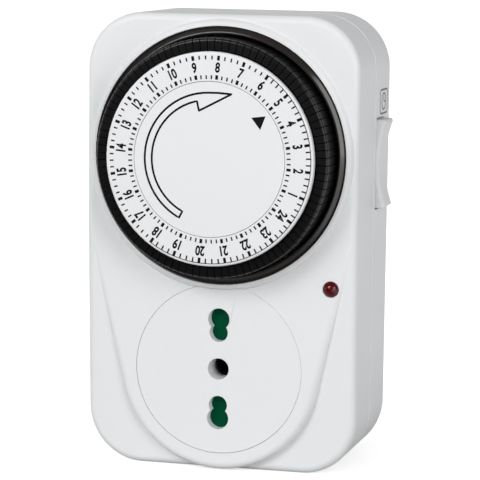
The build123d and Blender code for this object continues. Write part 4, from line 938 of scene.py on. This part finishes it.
def rounded_frame(half_u, half_v, corner, steps=5):
    """Points of a rectangle about the origin with round corners."""
    points = []
    for index, (su, sv) in enumerate(((1, 1), (-1, 1), (-1, -1), (1, -1))):
        for step in range(steps + 1):
            turn = math.radians(90 * (index + step / steps))
            u = su * (half_u - corner) + corner * math.cos(turn)
            v = sv * (half_v - corner) + corner * math.sin(turn)
            points.append((u, v))
    return points


sign_parts = [
    on_side(rounded_frame(*FRAME_HALF, FRAME_CORNER), "sign_frame"),
    on_side(ellipse(*CLOCK_HALF), "sign_clock"),
    on_side([(0, 0), (0, LONG_HAND)], "sign_hand_up", closed=False),
    on_side([(0, 0), (SHORT_HAND, 0)], "sign_hand_side", closed=False),
]
sign = join_all(sign_parts, "clock_sign")
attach(sign, "housing")
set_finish(sign, "grey_plastic")
tell(sign)

# %% [markdown]
# ## Plug pins and screws at the back
# Three round pins with rolled-over tips. The two outer ones wear an insulating sleeve over their first ten
# millimetres, flush with the bare metal. The housing screws sit deep in their holes.

# %% Pins
PIN_R, CORE_R, FOOT_R = 2.5, 1.9, 3.5
PIN_TIP, SLEEVE_END, FOOT_END = 57.0, 48.0, 24.1
NOSE_R, NOSE_STEPS = 1.0, 5


def pin_profile(shoulder, near):
    """Half outline of a pin: foot, thinner core up to the shoulder, full radius and a rolled-over tip."""
    points = [(0.0, near), (FOOT_R, near), (FOOT_R, FOOT_END), (CORE_R, FOOT_END), (CORE_R, shoulder),
              (PIN_R, shoulder)]
    for step in range(NOSE_STEPS + 1):
        lean = math.radians(90 * step / NOSE_STEPS)
        points.append((PIN_R - NOSE_R + NOSE_R * math.cos(lean), PIN_TIP - NOSE_R + NOSE_R * math.sin(lean)))
    return points + [(0.0, PIN_TIP)]


for name, node, step, shoulder, near in (
    ("neutral_prong", "neutral_pin", -1, SLEEVE_END, 20.8),
    ("earth_prong", "earth_pin", 0, PIN_SEAT, 20.8),
    ("phase_prong", "phase_pin", 1, SLEEVE_END, 22.6),
):
    prong = turned(pin_profile(shoulder, near), 0, SOCKET_Z + step * PIN_STEP, sides=64)
    prong.name = name
    smooth(prong)
    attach(prong, "housing")
    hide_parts(node)
    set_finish(prong, "brass")
    tell(prong)

# %% Sleeves
sleeve_profile = [(CORE_R, PIN_SEAT), (PIN_R, PIN_SEAT), (PIN_R, 47.9), (2.42, SLEEVE_END),
                  (CORE_R, SLEEVE_END)]
sleeves = [turned(sleeve_profile, 0, SOCKET_Z + step * PIN_STEP, sides=64) for step in (-1, 1)]
sleeve_pair = join_all(sleeves, "prong_sleeves")
smooth(sleeve_pair)
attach(sleeve_pair, "housing")
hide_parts("pin_sleeves")
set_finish(sleeve_pair, "black_plastic")
tell(sleeve_pair)

# %% Housing screws
SHANK_R, HEAD_R = 1.5, 2.8
SCREW_TIP, HEAD_NEAR, HEAD_FAR = 8.0, 28.0, 30.0
SLOT_DEEP, SLOT_HALF = 1.0, 0.4
shank = [(0.0, SCREW_TIP), (1.0, SCREW_TIP), (SHANK_R, 9.0), (SHANK_R, HEAD_NEAR)]
head = [(HEAD_R, HEAD_NEAR), (HEAD_R, 29.2), (2.6, 29.7), (2.1, 29.95), (0.0, HEAD_FAR)]
screws = []
for x, z in SCREW_PLACES:
    screw = turned(shank + head, x, z, sides=40)
    driver = block(x - 4, x + 4, HEAD_FAR - SLOT_DEEP, HEAD_FAR + 1, z - SLOT_HALF, z + SLOT_HALF)
    cut(screw, driver)
    screws.append(screw)
screw_set = join_all(screws, "shell_screws")
smooth(screw_set)
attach(screw_set, "housing")
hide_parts("housing_screws")
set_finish(screw_set, "steel")
tell(screw_set)

# %% [markdown]
# ## Shader groups
# Moulded plastic is never one flat colour: the mould's spark-eroded grain scatters its gloss, and handling
# leaves slight patches. Metal has fine turning marks and a little tarnish. Each effect is one node group with
# named sockets, placed in every material with its own values.

# %% Group helpers
COLOUR, NUMBER = "NodeSocketColor", "NodeSocketFloat"


def new_group(name, inputs):
    """Group with the given inputs, which puts out a colour, a roughness and a height."""
    group = bpy.data.node_groups.new(name, "ShaderNodeTree")
    for label, kind, value in inputs:
        socket = group.interface.new_socket(label, in_out="INPUT", socket_type=kind)
        socket.default_value = value
    for label, kind in (("Colour", COLOUR), ("Roughness", NUMBER), ("Height", NUMBER)):
        group.interface.new_socket(label, in_out="OUTPUT", socket_type=kind)
    return group


def add_node(tree, kind, **settings):
    """Node of a kind with its properties set."""
    node = tree.nodes.new(kind)
    for key, value in settings.items():
        setattr(node, key, value)
    return node


def group_ends(group):
    """What a group is given and has to make, and the place on the piece."""
    given = add_node(group, "NodeGroupInput").outputs
    made = add_node(group, "NodeGroupOutput").inputs
    return given, made, add_node(group, "ShaderNodeTexCoord").outputs["Object"]


def feed(tree, socket, value):
    """Gives a socket a plain number or a link from another socket."""
    if isinstance(value, (int, float)):
        socket.default_value = value
    else:
        tree.links.new(value, socket)


def math_node(tree, operation, first, second):
    """Math node whose inputs are sockets or plain numbers."""
    node = add_node(tree, "ShaderNodeMath", operation=operation)
    feed(tree, node.inputs[0], first)
    feed(tree, node.inputs[1], second)
    return node.outputs[0]


def noise(tree, place, scale, detail):
    """Noise texture's value at a place."""
    node = add_node(tree, "ShaderNodeTexNoise")
    for label, value in (("Vector", place), ("Scale", scale), ("Detail", detail)):
        feed(tree, node.inputs[label], value)
    return node.outputs["Fac"]


def blend(tree, factor, first, second):
    """Colour between two colours."""
    node = add_node(tree, "ShaderNodeMix", data_type="RGBA")
    for label, value in (("Factor", factor), ("A", first), ("B", second)):
        feed(tree, node.inputs[label], value)
    return node.outputs["Result"]


def map_range(tree, source, start, end, low=0.0, high=1.0):
    """Value that goes from low to high while the source goes from start to end, and stays there beyond."""
    node = add_node(tree, "ShaderNodeMapRange")
    for label, value in (("Value", source), ("From Min", start), ("From Max", end), ("To Min", low),
                         ("To Max", high)):
        feed(tree, node.inputs[label], value)
    return node.outputs["Result"]


print("node helpers ready")

# %% Moulded surface group
PATCH_SHARE = 0.5  # how far a patch goes from the colour to the shade
SPECK_GLOSS = 0.08
moulded = new_group(
    "moulded_surface",
    [("Colour", COLOUR, (0.8, 0.8, 0.8, 1)), ("Shade", COLOUR, (0.7, 0.7, 0.7, 1)),
     ("Roughness", NUMBER, 0.4), ("Gloss Change", NUMBER, 0.05), ("Grain Scale", NUMBER, 2500.0),
     ("Patch Scale", NUMBER, 60.0)],
)
given, made, place = group_ends(moulded)
grain = noise(moulded, place, given["Grain Scale"], 3)
patch = noise(moulded, place, given["Patch Scale"], 4)
share = math_node(moulded, "MULTIPLY", patch, PATCH_SHARE)
feed(moulded, made["Colour"], blend(moulded, share, given["Colour"], given["Shade"]))
change = math_node(moulded, "MULTIPLY", math_node(moulded, "SUBTRACT", patch, 0.5), given["Gloss Change"])
speck = math_node(moulded, "MULTIPLY", math_node(moulded, "SUBTRACT", grain, 0.5), SPECK_GLOSS)
patchy = math_node(moulded, "ADD", given["Roughness"], change)
feed(moulded, made["Roughness"], math_node(moulded, "ADD", patchy, speck))
feed(moulded, made["Height"], grain)
print("group:", moulded.name)

# %% Turned metal group
MARK_STRETCH = (0.15, 1.0, 0.15)
STAIN_SCALE, STAIN_START, STAIN_END = 180, 0.48, 0.75
STAIN_DULLS, MARKS_DULL = 0.25, 0.12
turned_metal = new_group(
    "turned_metal",
    [("Colour", COLOUR, (0.7, 0.6, 0.4, 1)), ("Tarnish", COLOUR, (0.4, 0.3, 0.2, 1)),
     ("Roughness", NUMBER, 0.3), ("Mark Scale", NUMBER, 3000.0)],
)
given, made, place = group_ends(turned_metal)
stretch = add_node(turned_metal, "ShaderNodeMapping")
stretch.inputs["Scale"].default_value = MARK_STRETCH
feed(turned_metal, stretch.inputs["Vector"], place)
marks = noise(turned_metal, stretch.outputs["Vector"], given["Mark Scale"], 2)
stain = map_range(turned_metal, noise(turned_metal, place, STAIN_SCALE, 5), STAIN_START, STAIN_END)
feed(turned_metal, made["Colour"], blend(turned_metal, stain, given["Colour"], given["Tarnish"]))
stained = math_node(turned_metal, "MULTIPLY", stain, STAIN_DULLS)
fine = math_node(turned_metal, "MULTIPLY", marks, MARKS_DULL)
dulled = math_node(turned_metal, "ADD", given["Roughness"], stained)
feed(turned_metal, made["Roughness"], math_node(turned_metal, "ADD", dulled, fine))
feed(turned_metal, made["Height"], marks)
print("group:", turned_metal.name)

# %% [markdown]
# ## Materials
# One function wires a group to a Principled shader, and two short ones call it for plastics and for metals.
# What is the same all over the surface, such as the index of refraction, is set on the shader itself, and
# what changes goes through the group.

# %% Material makers
def finish(name, group, group_values, bump, relief, shader_values):
    """Principled material fed by a shader group; bump is the height of its grain in millimetres."""
    material = bpy.data.materials.new(name)
    material.use_nodes = True
    tree = material.node_tree
    shader = tree.nodes["Principled BSDF"]
    effect = add_node(tree, "ShaderNodeGroup", node_tree=group)
    for label, value in group_values.items():
        effect.inputs[label].default_value = value
    height = add_node(tree, "ShaderNodeBump")
    height.inputs["Distance"].default_value = mm(bump)
    height.inputs["Strength"].default_value = relief
    for source, target in (
        (effect.outputs["Colour"], shader.inputs["Base Color"]),
        (effect.outputs["Roughness"], shader.inputs["Roughness"]),
        (effect.outputs["Height"], height.inputs["Height"]),
        (height.outputs["Normal"], shader.inputs["Normal"]),
    ):
        tree.links.new(source, target)
    for label, value in shader_values.items():
        shader.inputs[label.replace("_", " ")].default_value = value
    return material


def moulding(name, colour, shade, rough, change, grain, patch, bump, relief, **shader_values):
    """Finish of a moulded plastic."""
    values = {"Colour": colour, "Shade": shade, "Roughness": rough, "Gloss Change": change,
              "Grain Scale": grain, "Patch Scale": patch}
    return finish(name, moulded, values, bump, relief, shader_values)


def metal(name, colour, tarnish, rough, marks, bump, relief, **shader_values):
    """Finish of a turned or drawn metal."""
    values = {"Colour": colour, "Tarnish": tarnish, "Roughness": rough, "Mark Scale": marks}
    return finish(name, turned_metal, values, bump, relief, shader_values)


def grey(value):
    """Even grey with its alpha."""
    return (value, value, value, 1)


print("material makers ready")

# %% Plastics
plastics = {
    "white_housing": moulding(
        "satin_white", colour=(0.79, 0.80, 0.81, 1), shade=(0.765, 0.775, 0.785, 1), rough=0.46,
        change=0.06, grain=3200, patch=45, bump=0.02, relief=0.25, IOR=1.5, Specular_IOR_Level=0.35,
    ),
    "white_dial": moulding(
        "dial_white", colour=(0.80, 0.805, 0.82, 1), shade=(0.775, 0.78, 0.795, 1), rough=0.42,
        change=0.05, grain=3600, patch=70, bump=0.02, relief=0.15, IOR=1.5,
    ),
    "black_plastic": moulding(
        "black_moulding", colour=grey(0.0025), shade=grey(0.004), rough=0.3, change=0.12, grain=2600,
        patch=150, bump=0.03, relief=0.3, IOR=1.5, Specular_IOR_Level=0.3,
    ),
    "smoky_plastic": moulding(
        "smoked_clear", colour=(0.022, 0.019, 0.018, 1), shade=(0.03, 0.026, 0.024, 1), rough=0.14,
        change=0.05, grain=1500, patch=90, bump=0.01, relief=0.1, IOR=1.55,
    ),
    "green_plastic": moulding(
        "shutter_green", colour=(0.0, 0.08, 0.034, 1), shade=(0.0, 0.055, 0.023, 1), rough=0.42,
        change=0.1, grain=2200, patch=400, bump=0.06, relief=0.5, IOR=1.5, Specular_IOR_Level=0.04,
    ),
    "grey_plastic": moulding(
        "grey_moulding", colour=grey(0.33), shade=grey(0.28), rough=0.5, change=0.1, grain=2000, patch=90,
        bump=0.04, relief=0.3, IOR=1.5,
    ),
    "natural_plastic": moulding(
        "natural_nylon", colour=(0.72, 0.68, 0.56, 1), shade=(0.64, 0.6, 0.48, 1), rough=0.45, change=0.1,
        grain=1800, patch=120, bump=0.03, relief=0.3, IOR=1.5,
    ),
    "board": moulding(
        "phenolic_board", colour=(0.3, 0.17, 0.06, 1), shade=(0.22, 0.12, 0.045, 1), rough=0.5,
        change=0.15, grain=900, patch=500, bump=0.05, relief=0.4, IOR=1.5,
    ),
}
print("plastics:", len(plastics))

# %% Clear materials
plastics["red_lens"] = moulding(
    "clear_dark_red", colour=(0.11, 0.003, 0.006, 1), shade=(0.08, 0.002, 0.005, 1), rough=0.08,
    change=0.03, grain=900, patch=300, bump=0.01, relief=0.05, IOR=1.49, Transmission_Weight=0.2,
    Specular_IOR_Level=0.32,
)
plastics["glass"] = moulding(
    "lamp_glass", colour=(0.9, 0.88, 0.85, 1), shade=(0.85, 0.8, 0.75, 1), rough=0.06, change=0.03,
    grain=900, patch=300, bump=0.01, relief=0.05, IOR=1.5, Transmission_Weight=0.9,
)
print("with the clear ones:", len(plastics))

# %% Metals
metals = {
    "brass": metal(
        "bright_brass", colour=(0.75, 0.55, 0.26, 1), tarnish=(0.42, 0.28, 0.12, 1), rough=0.2,
        marks=4000, bump=0.01, relief=0.2, Metallic=1.0,
    ),
    "steel": metal(
        "zinc_steel", colour=(0.6, 0.6, 0.61, 1), tarnish=(0.4, 0.39, 0.37, 1), rough=0.3, marks=3500,
        bump=0.01, relief=0.3, Metallic=1.0,
    ),
    "copper": metal(
        "enamelled_copper", colour=(0.55, 0.2, 0.08, 1), tarnish=(0.35, 0.11, 0.04, 1), rough=0.28,
        marks=5200, bump=0.04, relief=0.8, Metallic=1.0,
    ),
    "magnet": metal(
        "sintered_magnet", colour=(0.06, 0.06, 0.065, 1), tarnish=(0.035, 0.033, 0.032, 1), rough=0.5,
        marks=1500, bump=0.05, relief=0.5, Metallic=0.6,
    ),
}
print("metals:", len(metals))

# %% Brass deep in the earth hole, darkened to near black as painted shade
# Colour and tarnish here are painted shade: the brass is darkened to stand for the shade deep in the earth
# hole.
dark_brass_painted_shade = metal(
    "brass_painted_shade", colour=(0.05, 0.036, 0.018, 1), tarnish=(0.03, 0.022, 0.012, 1), rough=0.45,
    marks=3000, bump=0.02, relief=0.3, Metallic=0.8,
)
print("old brass:", dark_brass_painted_shade.name)

# %% Printing ink
ink = moulding(
    "printing_ink", colour=grey(0.006), shade=grey(0.01), rough=0.5, change=0.1, grain=4200, patch=600,
    bump=0.01, relief=0.3, IOR=1.45, Specular_IOR_Level=0.1,
)
sign_ink = moulding(
    "sign_ink", colour=grey(0.012), shade=grey(0.02), rough=0.5, change=0.1, grain=4200, patch=600,
    bump=0.01, relief=0.3, IOR=1.45,
)
print("inks:", ink.name, sign_ink.name)

# %% [markdown]
# ## Giving out the finishes
# New pieces and the solid's own inner nodes take the finish of their material slot, so the sealed inside is
# finished as well as the outside. Ink has its own black, and the earth contact wears brass darkened as
# painted shade.

# %% Assign materials
finishes = {**plastics, **metals}
node_slots = {row["node"]: row["material_slot"] for row in frame["record"]["subparts"]}


def wear(obj, material):
    obj.data.materials.clear()
    obj.data.materials.append(material)


for node, obj in frame["nodes"].items():
    wear(obj, finishes[node_slots[node]])
# The earth contact gets brass darkened to near black: painted shade for the depth of the earth hole.
wear(frame["nodes"]["earth_contact"], dark_brass_painted_shade)
for obj in bpy.data.objects:
    if obj.type == "MESH" and obj.get("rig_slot"):
        wear(obj, finishes[obj["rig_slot"]])
for obj in (hours_print, tick_print, arc, arrow, pointer):
    wear(obj, ink)
wear(sign, sign_ink)

# %% [markdown]
# ## Studio
# A plain pale floor under even soft light. Its material adds light for the rays that see it, so it looks
# white, and more of it further from the timer, so no horizon shows. Its diffuse part still darkens where the
# timer shades it. In a studio the backdrop is bright and the room behind the camera is dim. Floor and world
# do the same for what shiny surfaces mirror: white towards the back and the right, dim towards the front,
# where only the soft lamps show.

# %% Floor
FLOOR_GREY = 0.6
SHADE_NEAR, SHADE_FAR, SHADE_GLOW = 0.022, 0.062, 0.62  # metres from the middle, and the glow nearest to it
bpy.ops.object.select_all(action="DESELECT")
bpy.ops.mesh.primitive_plane_add(size=8, location=(0, 0, 0))
floor = done(bpy.context.object, "studio_floor")
print("floor:", FLOOR_GREY, "grey")


def axes(tree, place):
    """X, Y and Z of a place."""
    split = add_node(tree, "ShaderNodeSeparateXYZ")
    tree.links.new(place, split.inputs["Vector"])
    return split.outputs


# %% Floor material
floor_look = bpy.data.materials.new("pale_floor")
floor_look.use_nodes = True
tree = floor_look.node_tree
shader = tree.nodes["Principled BSDF"]
shader.inputs["Roughness"].default_value = 0.9
shader.inputs["Specular IOR Level"].default_value = 0.0
shader.inputs["Emission Color"].default_value = grey(1)
ray = add_node(tree, "ShaderNodeLightPath").outputs
place = add_node(tree, "ShaderNodeTexCoord").outputs["Object"]
distance = add_node(tree, "ShaderNodeVectorMath", operation="LENGTH")
tree.links.new(place, distance.inputs[0])
fade = map_range(tree, distance.outputs["Value"], SHADE_NEAR, SHADE_FAR, SHADE_GLOW, 1.0)
behind = map_range(tree, axes(tree, place)["Y"], -0.12, 0.15, 0.04, 1.0)
beside = map_range(tree, axes(tree, place)["X"], 0.03, 0.1)
in_front = math_node(tree, "SUBTRACT", 1.0, math_node(tree, "MAXIMUM", behind, beside))
hidden = math_node(tree, "MULTIPLY", ray["Is Glossy Ray"], in_front)
shown = math_node(tree, "SUBTRACT", 1.0, hidden)
mirrored = math_node(tree, "MAXIMUM", ray["Is Glossy Ray"], ray["Is Transmission Ray"])
seen = math_node(tree, "MAXIMUM", ray["Is Camera Ray"], mirrored)
glow = math_node(tree, "MULTIPLY", seen, fade)
feed(tree, shader.inputs["Emission Strength"], math_node(tree, "MULTIPLY", glow, shown))
paint = add_node(tree, "ShaderNodeCombineColor")
for channel in ("Red", "Green", "Blue"):
    feed(tree, paint.inputs[channel], math_node(tree, "MULTIPLY", shown, FLOOR_GREY))
tree.links.new(paint.outputs["Color"], shader.inputs["Base Color"])
wear(floor, floor_look)
print("floor material:", len(tree.nodes), "nodes")

# %% World
AMBIENT = 0.5
world = bpy.data.worlds.new("studio_world")
bpy.context.scene.world = world
world.use_nodes = True
tree = world.node_tree
sky = tree.nodes["Background"]
sky.inputs["Color"].default_value = grey(1)
ray = add_node(tree, "ShaderNodeLightPath").outputs
towards = axes(tree, add_node(tree, "ShaderNodeTexCoord").outputs["Generated"])
shiny = math_node(tree, "MAXIMUM", ray["Is Glossy Ray"], ray["Is Transmission Ray"])
mirrored = math_node(tree, "MULTIPLY", shiny, map_range(tree, towards["Y"], -0.2, 0.05, 0.08, 0.8))
ceiling = map_range(tree, towards["Z"], 0.0, 1.0, AMBIENT, AMBIENT / 4)
dull = math_node(tree, "MULTIPLY", math_node(tree, "SUBTRACT", 1.0, shiny), ceiling)
lit = math_node(tree, "ADD", mirrored, dull)
feed(tree, sky.inputs["Strength"], math_node(tree, "MAXIMUM", ray["Is Camera Ray"], lit))
print("world:", len(tree.nodes), "nodes")


# %% Lamps
def soft_lamp(name, place, width, height, watts):
    """Rectangular area lamp that faces the middle of the timer."""
    data = bpy.data.lights.new(name, "AREA")
    data.shape = "RECTANGLE"
    data.size, data.size_y = width, height
    data.energy = watts
    lamp = bpy.data.objects.new(name, data)
    bpy.context.collection.objects.link(lamp)
    lamp.location = place
    lamp.rotation_euler = (TIMER_MIDDLE - Vector(place)).to_track_quat("-Z", "Y").to_euler()


TIMER_MIDDLE = Vector((0, 0, 0.06))
soft_lamp("key_lamp", (-0.8, -1.7, 1.05), 1.0, 1.0, 22)
soft_lamp("left_panel", (-0.75, -0.25, 0.2), 0.3, 0.5, 0.7)
soft_lamp("right_panel", (0.64, -0.64, 0.3), 0.5, 0.58, 3.4)
print("lamps:", len(bpy.data.lights))

# %% [markdown]
# ## Camera
# A long lens from a little to the right and a little above, so that the right side and a sliver of the top
# show and upright lines stay nearly parallel.

# %% Camera
EYE = Vector((0.16795, -0.62361, 0.14223))
TARGET = Vector((0.00827, -0.0197, 0.06031))
ROLL = math.radians(0.81)
camera_data = bpy.data.cameras.new("camera")
camera_data.sensor_width = 36
camera_data.lens = 184.1
camera_data.shift_x = -0.0294
camera_data.clip_start = 0.01
camera = bpy.data.objects.new("camera", camera_data)
bpy.context.collection.objects.link(camera)
look = (TARGET - EYE).to_track_quat("-Z", "Y").to_matrix().to_4x4()
camera.matrix_world = Matrix.Translation(EYE) @ look @ Matrix.Rotation(ROLL, 4, "Z")
bpy.context.scene.camera = camera
bpy.context.scene.view_settings.view_transform = "Standard"
print("camera at", [round(value, 3) for value in EYE])
